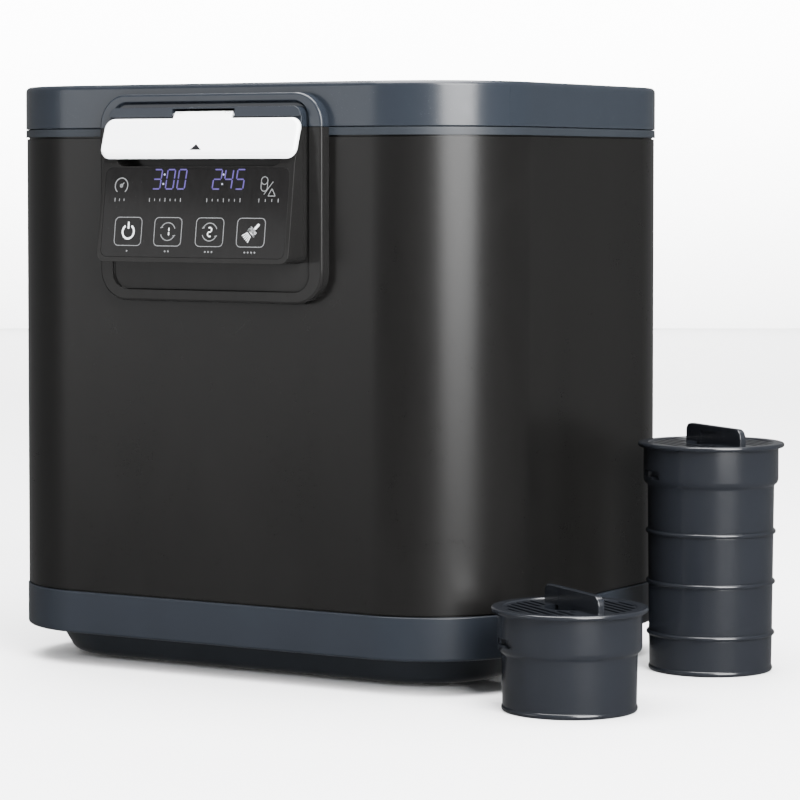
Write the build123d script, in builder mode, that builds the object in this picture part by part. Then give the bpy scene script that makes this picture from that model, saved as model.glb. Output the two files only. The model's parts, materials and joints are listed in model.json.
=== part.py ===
from build123d import *
import math
import os

os.makedirs("parts", exist_ok=True)

# A countertop composter for food waste, in millimetres. X runs across the machine, the front
# faces -Y and Z is up. The origin is the centre of the machine's footprint on the table.

# ------------------------ casing
width = 300.0
depth = 240.0
corner_radius = 59.0
foot_height = 2.5
pedestal_top = 17.5
band_top = 39.4
shell_top = 276.7
collar_top = shell_top + 3.9
lid_top = collar_top + 22.7
wall = 2.2                     # moulded walls
seam = 0.3                     # gap under the lid and between pieces that move apart
shell_inset = 0.5              # the shell stands a little inside its neighbours
shadow_gap = 0.8               # dark joints above and below the shell
band_rim = 5.0                 # width of the rim that the shell stands on
pedestal_inset = 16.7
tray_opening_inset = pedestal_inset + 2 * wall + 1.0
pedestal_taper = 25.0
pedestal_round = 4.0
tray_thickness = 2.5
load_boss_x = -24.0
load_boss_length = 24.0
load_boss_width = 22.0
load_boss_corner = 3.0
board_x = -60.0
board_y = 74.0
board_post_height = 4.0
board_post_radius = 3.0
board_post_pitch_x = 76.0
board_post_pitch_y = 24.0
foot_radius = 10.0
foot_taper = 20.0
band_top_round = 0.8
band_bottom_round = 1.6
joint_depth = 1.1              # how far a dark joint reaches into the shell
foot_x = 98.0
foot_y = 68.0
shell_front = depth / 2 - shell_inset

# ------------------------ deck inside the lid
apron_inset = 8.0
deck_top = shell_top - 14.7
deck_thickness = 2.5
deck_bottom = deck_top - deck_thickness
apron_wall = 2.0
chamber_play = 0.5
well_hole_play = 0.2

# ------------------------ bezel, pod and touch panel
ring_half_width = 67.6
ring_top = collar_top + 17.4
ring_bottom = ring_top - 105.3
ring_corner = 16.0
ring_reach = 6.5               # the ring stands this far in front of the casing
ring_side = 7.8
ring_foot = 6.0
ring_head = 5.0
ring_inner_corner = 9.0
ring_round = 1.8
ring_wall = 3.0
recess_depth = 1.5
bezel_wall = 2.0
pod_half_width = 58.1
pod_bottom = ring_bottom + 20.3
pod_top = ring_top - 7.0
pod_corner = 4.5
pod_break = collar_top - 17.6  # height where the touch panel ends and the scoop begins
pod_step = collar_top + 5.5    # underside of the lip above the pick-up lever
reach_bottom = 23.1            # how far the pod stands out at each of those heights
reach_break = 16.4
reach_behind_lever = 9.9
reach_lip = 11.4
reach_top = 10.9
scoop_half_width = 50.0
scoop_top = collar_top - 3.6
scoop_reach = 8.5
scoop_corner = 4.0
scoop_lift = 0.3
glass_half_width = 56.0
glass_rim = 2.2
glass_thickness = 1.2
glass_corner = 4.0
glass_play = 0.15
window_half_width = 48.0
window_bottom = pod_bottom + 9.0
window_top = pod_break - 5.0
window_corner = 3.0
board_half_width = 46.0
board_half_height = 17.0
board_thickness = 1.6
board_play = 1.5
board_room_corner = 2.0
board_hole_margin = 3.0
board_hole_radius = 1.2
display_thickness = 4.0
display_height = 16.0
display_margin = 3.0
keys = 4
key_pitch = 24.4
key_size = 12.0
key_spread = 0.9               # the sensors sit closer together than the printed keys

# ------------------------ pick-up lever
lever_half_width = 59.2
lever_top = collar_top + 5.2
lever_bottom = collar_top - 14.9
lever_top_reach = 13.0
lever_bottom_reach = 19.5
lever_thickness = 2.8
lever_corner = 5.5
lever_round = 0.9
lever_pin_reach = 9.7
lever_pin_height = collar_top + 6.6
lever_pin_radius = 0.9
lever_barrel_radius = 2.2
lever_arm_half = 17.4
lever_arm_wall = 1.0
lever_arm_top = 2.6            # the arm's edge above the pin, inside the slot
lever_arm_reach = 2.1          # the arm's back face in front of the pin
lever_barrel_half = 12.0
lever_slot_half = 18.9
lever_slot_top = collar_top + 9.6
pin_running = 0.05             # radial clearance of a running pin
pin_press = 0.02               # radial clearance of a pin that is pressed in
lever_pin_seat = 3.0
lever_pin_end = 2.5
spring_gap = 0.4
spring_wire = 0.8
nose_depth = 2.6
nose_half = 6.0
nose_bottom = collar_top + 0.7
striker_thickness = 2.0
striker_height = 4.6
striker_side = 2.0
striker_round = 1.5

# ------------------------ lid hinge
hinge_y = depth / 2 + 5.0
hinge_z = collar_top + 6.4
hinge_x = 78.0
hinge_radius = 4.2
hinge_pin_radius = 2.0
knuckle_width = 16.0
lug_width = 8.0
hinge_gap = 0.4
lug_top = 10.0                 # how far the lid's hinge lugs run up and down from the pin
lug_bottom = 4.4
hinge_root = 1.0
lid_wall_top = 2.5
lid_round = 2.6
liner_thickness = 2.0
liner_lift = 0.7
liner_play = 0.2
rib_thickness = 2.0
rib_pitch = 80.0
rib_margin_x = 35.0
rib_margin_y = 30.0
skirt_inset = 11.0
skirt_wall = 2.5
gasket_height = 2.2
gasket_proud = 0.4
sensor_x = 22.0
sensor_y = 22.0 - depth / 2
sensor_length = 22.0
sensor_width = 9.0
sensor_corner = 1.5
sensor_height = 6.0
magnet_radius = 5.0
magnet_height = 3.0

# ------------------------ bucket and heated chamber
bucket_x = 110.0 - width / 2
chamber_radius = 90.5
chamber_wall = 1.5
chamber_flange = 95.5
chamber_bottom = 104.0
sheet_floor = 2.0
bucket_rim_radius = 93.0
bucket_top_radius = 87.5
bucket_base_radius = 84.5
bucket_bottom = 112.0
bucket_wall = 1.8
bucket_rim_thickness = 2.0
bucket_chamfer = 3.0
boss_chamfer = 1.5
bush_wall = 2.0
boss_radius = 12.0
boss_height = 10.0
heater_radius = 70.0
heater_inner = 40.0
heater_thickness = 5.0
probe_reach = 8.0
probe_length = 12.0
probe_width = 7.0
probe_corner = 2.0
probe_height = 5.0
bail_radius = 84.0
bail_wire = 1.8
ear_inner = 89.0
ear_outer = 92.6
ear_height = 6.6
ear_width = 9.0
ear_corner = 2.8
ear_sink = 0.1
ear_foot = 2.0

# ------------------------ drive
output_gear_radius = 48.0
output_teeth = 48
idler_small_teeth = 12
idler_large_teeth = 46
pinion_teeth = 12
backlash = 0.45
pressure_angle = 20.0
gear_module = 2 * output_gear_radius / output_teeth
addendum = 0.8 * gear_module
dedendum = 1.15 * gear_module
output_hole_radius = 7.5
idler_hole_radius = 7.0
gear_holes = 6
gear_hole_place = 0.58         # of the pitch radius
idler_x = bucket_x + gear_module * (output_teeth + idler_small_teeth) / 2
motor_x = idler_x + gear_module * (idler_large_teeth + pinion_teeth) / 2
chassis_top = 40.0
chassis_thickness = 2.0
chassis_half_x = width / 2 - 32.0
chassis_half_y = depth / 2 - 36.0
chassis_corner = 30.0
chassis_slot_x = 0.75 * chassis_half_x
chassis_slot_y = 0.7 * chassis_half_y
chassis_slot_length = 30.0
chassis_slot_width = 14.0
chassis_slot_corner = 6.5
load_bar_length = 78.0
load_bar_height = 12.0
load_bar_half_width = 6.5
load_bar_overlap = 10.0        # from the bar's end to the middle of its boss
load_pad = 0.8
load_pad_length = 16.0
load_pad_width = 12.0
load_hole_pitch = 12.0
load_hole_radius = 3.6
load_slot_height = 2.0
gearbox_wall = 2.5
gearbox_play = 3.0
gearbox_top = 86.0
cover_thickness = 3.0
boss_wall = 3.0
bearing_lift = 0.6
shaft_lift = 0.4
low_gear_bottom = 52.0
low_gear_top = 63.0
high_gear_bottom = 66.0
high_gear_top = 74.0
shaft_radius = 5.0
bearing_radius = 9.0
bearing_height = 6.0
idler_pin_radius = 3.0
motor_radius = 21.0
motor_height = 46.0
motor_shaft_radius = 2.5
motor_ear_pitch = 50.0
motor_round = 2.0
motor_seat_rim = 2.0
motor_ear_radius = 4.5
motor_ear_width = 9.0
motor_ear_thickness = 2.0
motor_pad_radius = 5.0
motor_pad_length = 12.0
motor_cap_radius = 6.0
motor_cap_height = 2.0
motor_shaft_hole = 2.0
motor_shaft_rise = 10.0
pinion_overhang = 2.0
screw_radius = 1.5
screw_head = 2.0
clutch_radius = 13.0
clutch_plate = 1.6
clutch_jaw = 1.9
clutch_jaws = 3
clutch_jaw_angle = 40.0
clutch_room = 2.0
clutch_lift = 0.4
clutch_gap = 0.1
jaw_root = 1.0                 # the jaws begin this far outside the shaft

# ------------------------ stirring rotor
rotor_shaft_radius = 6.0
hub_radius = 17.0
hub_height = 16.0
post_radius = 8.0
post_height = 34.0
sweep_reach = 80.0
sweep_height = 11.0
sweep_width = 9.0
paddle_reach = 66.0
paddle_height = 13.0
rotor_lift = 2.0               # height of the blades above the bucket's floor
hub_chamfer = 6.0
post_foot = 2.0
post_step = 1.0
post_chamfer = 4.0
post_tip = 3.0
boss_play = 1.0
shaft_end = 1.0                # the shaft stands this far above the bucket's boss

# ------------------------ filter wells and canisters
well_x = width / 2 - 55.0
well_y = 43.5
well_play = 0.5
well_wall = 1.4
well_flange = 41.2
tall_height = 118.5
short_height = 50.0
cap_radius = 37.9
cap_thickness = 2.4
collar_radius = 35.0
collar_height = 20.8
collar_wall = 1.5
tube_wall = 1.8
tube_top_radius = 32.8
bead_proud = 1.3
bead_height = 2.6
tall_beads = (72.4, 46.3, 19.7)
canister_draft = 0.0105        # the tube narrows by this much of its height
drain_holes = 8
drain_circle = 18.0
drain_length = 14.0
drain_width = 3.0
drain_corner = 1.4
tall_place = (width / 2 + 48.0, 45.0)
short_place = (width / 2 + 46.0, -107.0)
skirt_radius = 33.2
skirt_thickness = 1.6
lug_drop = 15.6                # from the cap's top down to the bayonet lugs
lug_height = 2.2
lug_angle = 7.0
lug_reach = 34.7
twist = 18.0                   # turn from locked to free
lug_azimuth = 224.0
lugs = 2
slot_play = 0.5
tube_foot_height = 3.0
tube_foot_proud = 0.4
entry_width = 6.4              # the upright part of a bayonet slot
entry_height = 1.6
skirt_margin = 1.4
fin_length = 56.0
fin_height = 8.5
fin_thickness = 3.6
fin_corner = 4.0
fin_azimuth = -34.5
fin_shift = 4.5                # the grip sits off the cap's centre, away from the recess
recess_radius = 12.0
recess_drop = 7.0
recess_wall = 1.2
cap_round = 1.0
vent_slots = 6
vent_pitch = 4.6
vent_width = 2.3
vent_radius = 32.0
vent_first = 7.0
charge_play = 0.4
charge_lift = 0.2
charge_drop = 2.0

# ------------------------ exhaust and mains
duct_x = well_x + 21.0
duct_drop = 30.1               # from the tall well's outlet down to the level run
duct_z = deck_top - tall_height - well_wall - duct_drop
duct_radius = 14.0
duct_wall = 1.6
duct_bend = 16.0
duct_level_y = 50.0            # where the level run turns towards the fan
duct_turn_y = 64.0
shroud_start = 78.0
outlet_bar = 2.4
fan_x = well_x - 37.0
fan_size = 60.0
fan_depth = 25.0
fan_bore = 28.0
fan_tip = 26.5
fan_hub_radius = 11.0
fan_blades = 7
fan_wall = 2.0
fan_corner = 4.0
fan_hole_margin = 4.0
fan_hole_radius = 1.8
fan_spoke = 3.5
fan_pin_radius = 1.5
impeller_gap = 1.0
impeller_depth = 16.0
blade_thickness = 2.6
blade_angle = 8.0
blade_clearance = 3.0
grille_flange = 2.2
grille_slots = 8
grille_slot_height = 3.0
grille_slot_length = 24.0
grille_slot_corner = 1.2
grille_web = 3.0               # between the two columns of slots
grille_margin = 2.0
grille_proud = 0.4
grille_rim = 2.5
inlet_x = 90.0 - width / 2
inlet_z = 63.0
inlet_width = 28.0
inlet_height = 20.0
inlet_depth = 20.0
socket_depth = 16.0
pin_spacing = 7.0
inlet_corner = 2.0
inlet_body_corner = 1.8
inlet_flange = 2.0
inlet_rim = 3.0
inlet_rim_corner = 4.0
socket_wall = 2.5
socket_corner = 2.5
contact_length = 11.0
contact_width = 2.0
contact_height = 4.0
line_drop = 1.5
earth_rise = 2.5

# ------------------------ power board and base screws
power_board_length = 84.0
power_board_width = 32.0
relay_x = -26.0
relay_length = 24.0
relay_width = 22.0
filter_x = 4.0
filter_y = 6.0
filter_length = 16.0
filter_width = 12.0
block_height = 17.0
capacitor_places = ((20.0, -6.0), (32.0, -6.0))
capacitor_radius = 5.0
capacitor_height = 20.0
base_screw_radius = 3.2
base_screw_head = 2.4
base_screw_margin = 4.0
base_screw_pitch = 60.0

well_radius = cap_radius + well_play
chamber_rim = deck_top + sheet_floor
bucket_rim_top = chamber_rim + bucket_rim_thickness
ring_height = ring_top - ring_bottom
ring_middle = (ring_top + ring_bottom) / 2
bezel_front = depth / 2 + ring_reach
recess_front = bezel_front - recess_depth
up = (0, 0, 1)


def plan(inset, play=0.0):
    """The casing's outline seen from above, moved in by an inset."""
    RectangleRounded(width - 2 * (inset + play), depth - 2 * (inset + play), corner_radius - inset - play)


def front_plane(reach):
    """An upright plane that faces the user, this far in front of the casing's middle."""
    return Plane.XZ.offset(reach)


# ------------------------ base
with BuildPart() as pedestal_tray:
    with BuildSketch(Plane((0, 0, pedestal_top), x_dir=(1, 0, 0), z_dir=(0, 0, -1))):
        plan(pedestal_inset)
    extrude(amount=pedestal_top - foot_height, taper=pedestal_taper)
    fillet(pedestal_tray.faces().sort_by(Axis.Z)[0].edges(), pedestal_round)
    with BuildSketch(Plane((0, 0, pedestal_top), x_dir=(1, 0, 0), z_dir=(0, 0, -1))):
        plan(pedestal_inset + wall)
    extrude(amount=pedestal_top - foot_height - tray_thickness, taper=pedestal_taper, mode=Mode.SUBTRACT)
    tray_floor = foot_height + tray_thickness
    load_bar_bottom = chassis_top - chassis_thickness - load_bar_height - load_pad
    with BuildSketch(Plane.XY.offset(tray_floor)):
        with Locations((load_boss_x, 0)):
            RectangleRounded(load_boss_length, load_boss_width, load_boss_corner)
    extrude(amount=load_bar_bottom - load_pad - tray_floor)
    with BuildSketch(Plane.XY.offset(tray_floor)):
        with Locations((board_x, board_y)):
            with GridLocations(board_post_pitch_x, board_post_pitch_y, 2, 2):
                Circle(board_post_radius)
    extrude(amount=board_post_height)
pedestal_tray.part.label = "pedestal_tray"
export_step(pedestal_tray.part, "parts/pedestal_tray.step")

with BuildPart() as rubber_feet:
    with BuildSketch(Plane((0, 0, foot_height), x_dir=(1, 0, 0), z_dir=(0, 0, -1))):
        with GridLocations(2 * foot_x, 2 * foot_y, 2, 2):
            Circle(foot_radius)
    extrude(amount=foot_height, taper=foot_taper)
rubber_feet.part.label = "rubber_feet"
export_step(rubber_feet.part, "parts/rubber_feet.step")

with BuildPart() as base_band:
    with BuildSketch(Plane.XY.offset(pedestal_top)):
        plan(0)
    extrude(amount=band_top - pedestal_top)
    fillet(base_band.faces().sort_by(Axis.Z)[-1].edges(), band_top_round)
    fillet(base_band.faces().sort_by(Axis.Z)[0].edges(), band_bottom_round)
    with BuildSketch(Plane.XY.offset(pedestal_top + wall)):
        plan(band_rim)
    extrude(amount=band_top - pedestal_top - wall, mode=Mode.SUBTRACT)
    with BuildSketch(Plane.XY.offset(pedestal_top)):
        plan(tray_opening_inset)
    extrude(amount=wall, mode=Mode.SUBTRACT)
base_band.part.label = "base_band"
export_step(base_band.part, "parts/base_band.step")

# ------------------------ outer shell and rear grille
rear_inner = depth / 2 - shell_inset - wall
grille_z = duct_z
with BuildPart() as outer_shell:
    with BuildSketch(Plane.XY.offset(band_top)):
        plan(shell_inset + joint_depth)
    extrude(amount=shell_top - band_top)
    with BuildSketch(Plane.XY.offset(band_top + shadow_gap)):
        plan(shell_inset)
    extrude(amount=shell_top - band_top - 2 * shadow_gap)
    with BuildSketch(Plane.XY.offset(band_top)):
        plan(shell_inset + wall)
    extrude(amount=shell_top - band_top, mode=Mode.SUBTRACT)
    with BuildSketch(front_plane(depth / 2)):
        with Locations((0, (window_top + window_bottom) / 2)):
            RectangleRounded(2 * window_half_width, window_top - window_bottom, window_corner)
    extrude(amount=-2 * wall - shell_inset, mode=Mode.SUBTRACT)
    with BuildSketch(front_plane(-depth / 2)):
        with Locations((fan_x, grille_z)):
            Rectangle(fan_size, fan_size)
        with Locations((inlet_x, inlet_z)):
            RectangleRounded(inlet_width, inlet_height, inlet_corner)
    extrude(amount=2 * wall + shell_inset, mode=Mode.SUBTRACT)
outer_shell.part.label = "outer_shell"
export_step(outer_shell.part, "parts/outer_shell.step")

grille_pitch = (fan_size - 2 * grille_margin) / grille_slots
with BuildPart() as rear_grille:
    with BuildSketch(front_plane(-rear_inner)):
        with Locations((fan_x, grille_z)):
            Rectangle(fan_size - 2 * seam, fan_size - 2 * seam)
    extrude(amount=-(wall + grille_proud))
    with BuildSketch(front_plane(-rear_inner)):
        with Locations((fan_x, grille_z)):
            Rectangle(fan_size + 2 * grille_rim, fan_size + 2 * grille_rim)
    extrude(amount=grille_flange)
    with BuildSketch(front_plane(-rear_inner + grille_flange)):
        with Locations((fan_x, grille_z)):
            with GridLocations(grille_slot_length + grille_web, grille_pitch, 2, grille_slots):
                RectangleRounded(grille_slot_length, grille_slot_height, grille_slot_corner)
    extrude(amount=-2 * (wall + grille_flange), mode=Mode.SUBTRACT)
rear_grille.part.label = "rear_grille"
export_step(rear_grille.part, "parts/rear_grille.step")

# ------------------------ top frame: collar, apron, deck, hinge knuckles
hinge_places = [(side * hinge_x) for side in (-1, 1)]
with BuildPart() as top_frame:
    with BuildSketch(Plane.XY.offset(shell_top)):
        plan(0)
    extrude(amount=collar_top - shell_top)
    with BuildSketch(Plane.XY.offset(deck_bottom)):
        plan(apron_inset - apron_wall)
    extrude(amount=shell_top - deck_bottom)
    with BuildSketch(Plane.XY.offset(deck_top)):
        plan(apron_inset)
    extrude(amount=collar_top - deck_top, mode=Mode.SUBTRACT)
    with BuildSketch(Plane.XY.offset(deck_bottom)):
        with Locations((bucket_x, 0)):
            Circle(chamber_radius + chamber_wall + chamber_play)
        with Locations((well_x, -well_y), (well_x, well_y)):
            Circle(well_radius + well_wall + well_hole_play)
    extrude(amount=deck_thickness, mode=Mode.SUBTRACT)
    for x in hinge_places:
        with BuildSketch(Plane.YZ.offset(x)):
            with BuildLine():
                Polyline((depth / 2 - hinge_root, shell_top), (depth / 2 + hinge_root, shell_top),
                         (hinge_y + hinge_radius * 0.94, hinge_z - hinge_radius * 0.34),
                         (hinge_y, hinge_z), (hinge_y - hinge_radius + 0.6, hinge_z - 0.5),
                         (depth / 2, collar_top), (depth / 2 - hinge_root, collar_top), close=True)
            make_face()
            with Locations((hinge_y, hinge_z)):
                Circle(hinge_radius)
        extrude(amount=knuckle_width / 2, both=True)
        with BuildSketch(Plane.YZ.offset(x)):
            with Locations((hinge_y, hinge_z)):
                Circle(hinge_pin_radius + pin_running)
        extrude(amount=knuckle_width, both=True, mode=Mode.SUBTRACT)
top_frame.part.label = "top_frame"
export_step(top_frame.part, "parts/top_frame.step")

# ------------------------ bezel ring and pod, drawn whole and split at the seam
with BuildPart() as whole_bezel:
    with BuildSketch(front_plane(shell_front)):
        with Locations((0, ring_middle)):
            RectangleRounded(2 * ring_half_width, ring_height, ring_corner)
    extrude(amount=bezel_front - shell_front)
    fillet(whole_bezel.faces().sort_by(Axis.Y)[0].edges(), ring_round)
    recess_top = ring_top - ring_head
    recess_bottom = ring_bottom + ring_foot
    with BuildSketch(front_plane(bezel_front)):
        with Locations((0, (recess_top + recess_bottom) / 2)):
            recess_width = 2 * (ring_half_width - ring_side)
            RectangleRounded(recess_width, recess_top - recess_bottom, ring_inner_corner)
    extrude(amount=-recess_depth, mode=Mode.SUBTRACT)
    with BuildSketch(front_plane(shell_front)):
        with Locations((0, ring_middle)):
            RectangleRounded(2 * (ring_half_width - ring_wall), ring_height - 2 * ring_wall,
                             ring_corner - ring_wall)
    extrude(amount=recess_front - bezel_wall - shell_front, mode=Mode.SUBTRACT)

front = depth / 2
with BuildPart() as whole_pod:
    with BuildSketch(Plane.YZ):
        with BuildLine():
            Polyline((-recess_front, pod_bottom), (-front - reach_bottom, pod_bottom),
                     (-front - reach_break, pod_break), (-front - reach_behind_lever, pod_step),
                     (-front - reach_lip, pod_step), (-front - reach_top, pod_top),
                     (-recess_front, pod_top), close=True)
        make_face()
    extrude(amount=pod_half_width, both=True)
    with BuildSketch(front_plane(front)):
        with Locations((0, (pod_top + pod_bottom) / 2)):
            RectangleRounded(2 * pod_half_width, pod_top - pod_bottom, pod_corner)
    extrude(amount=2 * reach_bottom, mode=Mode.INTERSECT)
    with BuildSketch(front_plane(front + scoop_reach)):
        with Locations((0, (scoop_top + pod_break) / 2 + scoop_lift)):
            RectangleRounded(2 * scoop_half_width, scoop_top - pod_break, scoop_corner)
    extrude(amount=reach_bottom, mode=Mode.SUBTRACT)

face_rise = pod_break - pod_bottom
face_lean = reach_bottom - reach_break
face_length = math.hypot(face_rise, face_lean)
panel_plane = Plane(origin=(0, -front - (reach_bottom + reach_break) / 2, (pod_break + pod_bottom) / 2),
                    x_dir=(1, 0, 0), z_dir=(0, -face_rise, face_lean))
glass_height = face_length - 2 * glass_rim

with BuildPart() as pod_housing:
    add(whole_pod.part)
    split(bisect_by=Plane.XY.offset(collar_top), keep=Keep.BOTTOM)
    with BuildSketch(panel_plane):
        RectangleRounded(2 * glass_half_width, glass_height, glass_corner)
    extrude(amount=-glass_thickness, mode=Mode.SUBTRACT)
    with BuildSketch(panel_plane.offset(-glass_thickness)):
        RectangleRounded(2 * (board_half_width + board_play), 2 * (board_half_height + board_play),
                         board_room_corner)
    extrude(amount=-2 * reach_bottom, mode=Mode.SUBTRACT)
pod_housing.part.label = "pod_housing"
export_step(pod_housing.part, "parts/pod_housing.step")

with BuildPart() as control_bezel:
    add(whole_bezel.part)
    split(bisect_by=Plane.XY.offset(collar_top), keep=Keep.BOTTOM)
    with BuildSketch(front_plane(shell_front)):
        with Locations((0, (window_top + window_bottom) / 2)):
            RectangleRounded(2 * window_half_width, window_top - window_bottom, window_corner)
    extrude(amount=ring_reach, mode=Mode.SUBTRACT)
    with BuildSketch(Plane.XY.offset(shell_top - shadow_gap)):
        with Locations((0, -shell_front)):
            Rectangle(2 * ring_half_width, 2 * shell_inset)
    extrude(amount=collar_top, mode=Mode.SUBTRACT)
control_bezel.part.label = "control_bezel"
export_step(control_bezel.part, "parts/control_bezel.step")

with BuildPart() as touch_panel_glass:
    with BuildSketch(panel_plane.offset(-glass_thickness)):
        RectangleRounded(2 * (glass_half_width - glass_play), glass_height - 2 * glass_play,
                         glass_corner - glass_play)
    extrude(amount=glass_thickness)
touch_panel_glass.part.label = "touch_panel_glass"
export_step(touch_panel_glass.part, "parts/touch_panel_glass.step")

with BuildPart() as display_module:
    with BuildSketch(panel_plane.offset(-glass_thickness - display_thickness)):
        with Locations((0, board_half_height - display_height / 2)):
            Rectangle(2 * (board_half_width - display_margin), display_height)
        with Locations((0, display_height / 2 - board_half_height)):
            with GridLocations(key_pitch * key_spread, 0, keys, 1):
                Rectangle(key_size, key_size)
    extrude(amount=display_thickness)
display_module.part.label = "display_module"
export_step(display_module.part, "parts/display_module.step")

with BuildPart() as control_board:
    with BuildSketch(panel_plane.offset(-glass_thickness - display_thickness - board_thickness)):
        Rectangle(2 * board_half_width, 2 * board_half_height)
        hole_half_x = board_half_width - board_hole_margin
        hole_half_y = board_half_height - board_hole_margin
        with GridLocations(2 * hole_half_x, 2 * hole_half_y, 2, 2):
            Circle(board_hole_radius, mode=Mode.SUBTRACT)
    extrude(amount=board_thickness)
control_board.part.label = "control_board"
export_step(control_board.part, "parts/control_board.step")

# ------------------------ lid
lid_bottom = collar_top + seam
pin_y = -front - lever_pin_reach
with BuildPart() as lid_outer:
    with BuildSketch(Plane.XY.offset(lid_bottom)):
        plan(0)
    extrude(amount=lid_top - lid_bottom)
    fillet(lid_outer.faces().sort_by(Axis.Z)[-1].edges(), lid_round)
    with BuildSketch(Plane.XY.offset(lid_bottom)):
        plan(wall)
    extrude(amount=lid_top - lid_bottom - lid_wall_top, mode=Mode.SUBTRACT)
    add(split(whole_bezel.part, bisect_by=Plane.XY.offset(lid_bottom), keep=Keep.TOP, mode=Mode.PRIVATE))
    add(split(whole_pod.part, bisect_by=Plane.XY.offset(lid_bottom), keep=Keep.TOP, mode=Mode.PRIVATE))
    with BuildSketch(Plane.XY.offset(lid_bottom)):
        with Locations((0, -front - ring_reach)):
            Rectangle(2 * lever_slot_half, 4 * ring_reach)
    extrude(amount=lever_slot_top - lid_bottom, mode=Mode.SUBTRACT)
    with BuildSketch(Plane.YZ):
        with Locations((pin_y, lever_pin_height)):
            Circle(lever_pin_radius + pin_press)
    extrude(amount=lever_slot_half + lever_pin_seat, both=True, mode=Mode.SUBTRACT)
    for x in hinge_places:
        for side in (-1, 1):
            lug_x = x + side * (knuckle_width / 2 + hinge_gap + lug_width / 2)
            with BuildSketch(Plane.YZ.offset(lug_x)):
                with BuildLine():
                    Polyline((front - hinge_root, hinge_z + lug_top), (front, hinge_z + lug_top),
                             (hinge_y + hinge_radius * 0.6, hinge_z + hinge_radius * 0.8),
                             (hinge_y, hinge_z - hinge_radius * 0.5), (front, hinge_z - lug_bottom),
                             (front - hinge_root, hinge_z - lug_bottom), close=True)
                make_face()
                with Locations((hinge_y, hinge_z)):
                    Circle(hinge_radius)
            extrude(amount=lug_width / 2, both=True)
            with BuildSketch(Plane.YZ.offset(lug_x)):
                with Locations((hinge_y, hinge_z)):
                    Circle(hinge_pin_radius + pin_press)
            extrude(amount=lug_width / 2, both=True, mode=Mode.SUBTRACT)
lid_outer.part.label = "lid_outer"
export_step(lid_outer.part, "parts/lid_outer.step")

pin_half = knuckle_width / 2 + hinge_gap + lug_width
with BuildPart() as hinge_pins:
    for x in hinge_places:
        with BuildSketch(Plane.YZ.offset(x)):
            with Locations((hinge_y, hinge_z)):
                Circle(hinge_pin_radius)
        extrude(amount=pin_half, both=True)
hinge_pins.part.label = "hinge_pins"
export_step(hinge_pins.part, "parts/hinge_pins.step")

liner_bottom = lid_bottom + liner_lift
skirt_bottom = deck_top + seam + gasket_height
with BuildPart() as lid_liner:
    with BuildSketch(Plane.XY.offset(liner_bottom)):
        plan(wall, liner_play)
    extrude(amount=liner_thickness)
    with BuildSketch(Plane.XY.offset(skirt_bottom)):
        plan(skirt_inset)
        RectangleRounded(width - 2 * (skirt_inset + skirt_wall), depth - 2 * (skirt_inset + skirt_wall),
                         corner_radius - skirt_inset - skirt_wall, mode=Mode.SUBTRACT)
    extrude(amount=liner_bottom - skirt_bottom)
    rib_height = lid_top - lid_wall_top - liner_bottom - liner_thickness
    with BuildSketch(Plane.XY.offset(liner_bottom + liner_thickness)):
        Rectangle(width - 2 * rib_margin_x, rib_thickness)
        with GridLocations(rib_pitch, 0, 3, 1):
            Rectangle(rib_thickness, depth - 2 * rib_margin_y)
    extrude(amount=rib_height)
lid_liner.part.label = "lid_liner"
export_step(lid_liner.part, "parts/lid_liner.step")

with BuildPart() as lid_gasket:
    with BuildSketch(Plane.XY.offset(deck_top + seam)):
        plan(skirt_inset - gasket_proud)
        RectangleRounded(width - 2 * (skirt_inset + skirt_wall), depth - 2 * (skirt_inset + skirt_wall),
                         corner_radius - skirt_inset - skirt_wall, mode=Mode.SUBTRACT)
    extrude(amount=gasket_height)
lid_gasket.part.label = "lid_gasket"
export_step(lid_gasket.part, "parts/lid_gasket.step")

with BuildPart() as lid_magnet:
    with BuildSketch(Plane.XY.offset(liner_bottom + liner_thickness)):
        with Locations((sensor_x, sensor_y)):
            Circle(magnet_radius)
    extrude(amount=magnet_height)
lid_magnet.part.label = "lid_magnet"
export_step(lid_magnet.part, "parts/lid_magnet.step")

with BuildPart() as lid_sensor:
    with BuildSketch(Plane.XY.offset(deck_bottom)):
        with Locations((sensor_x, sensor_y)):
            RectangleRounded(sensor_length, sensor_width, sensor_corner)
    extrude(amount=-sensor_height)
lid_sensor.part.label = "lid_sensor"
export_step(lid_sensor.part, "parts/lid_sensor.step")

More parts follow.
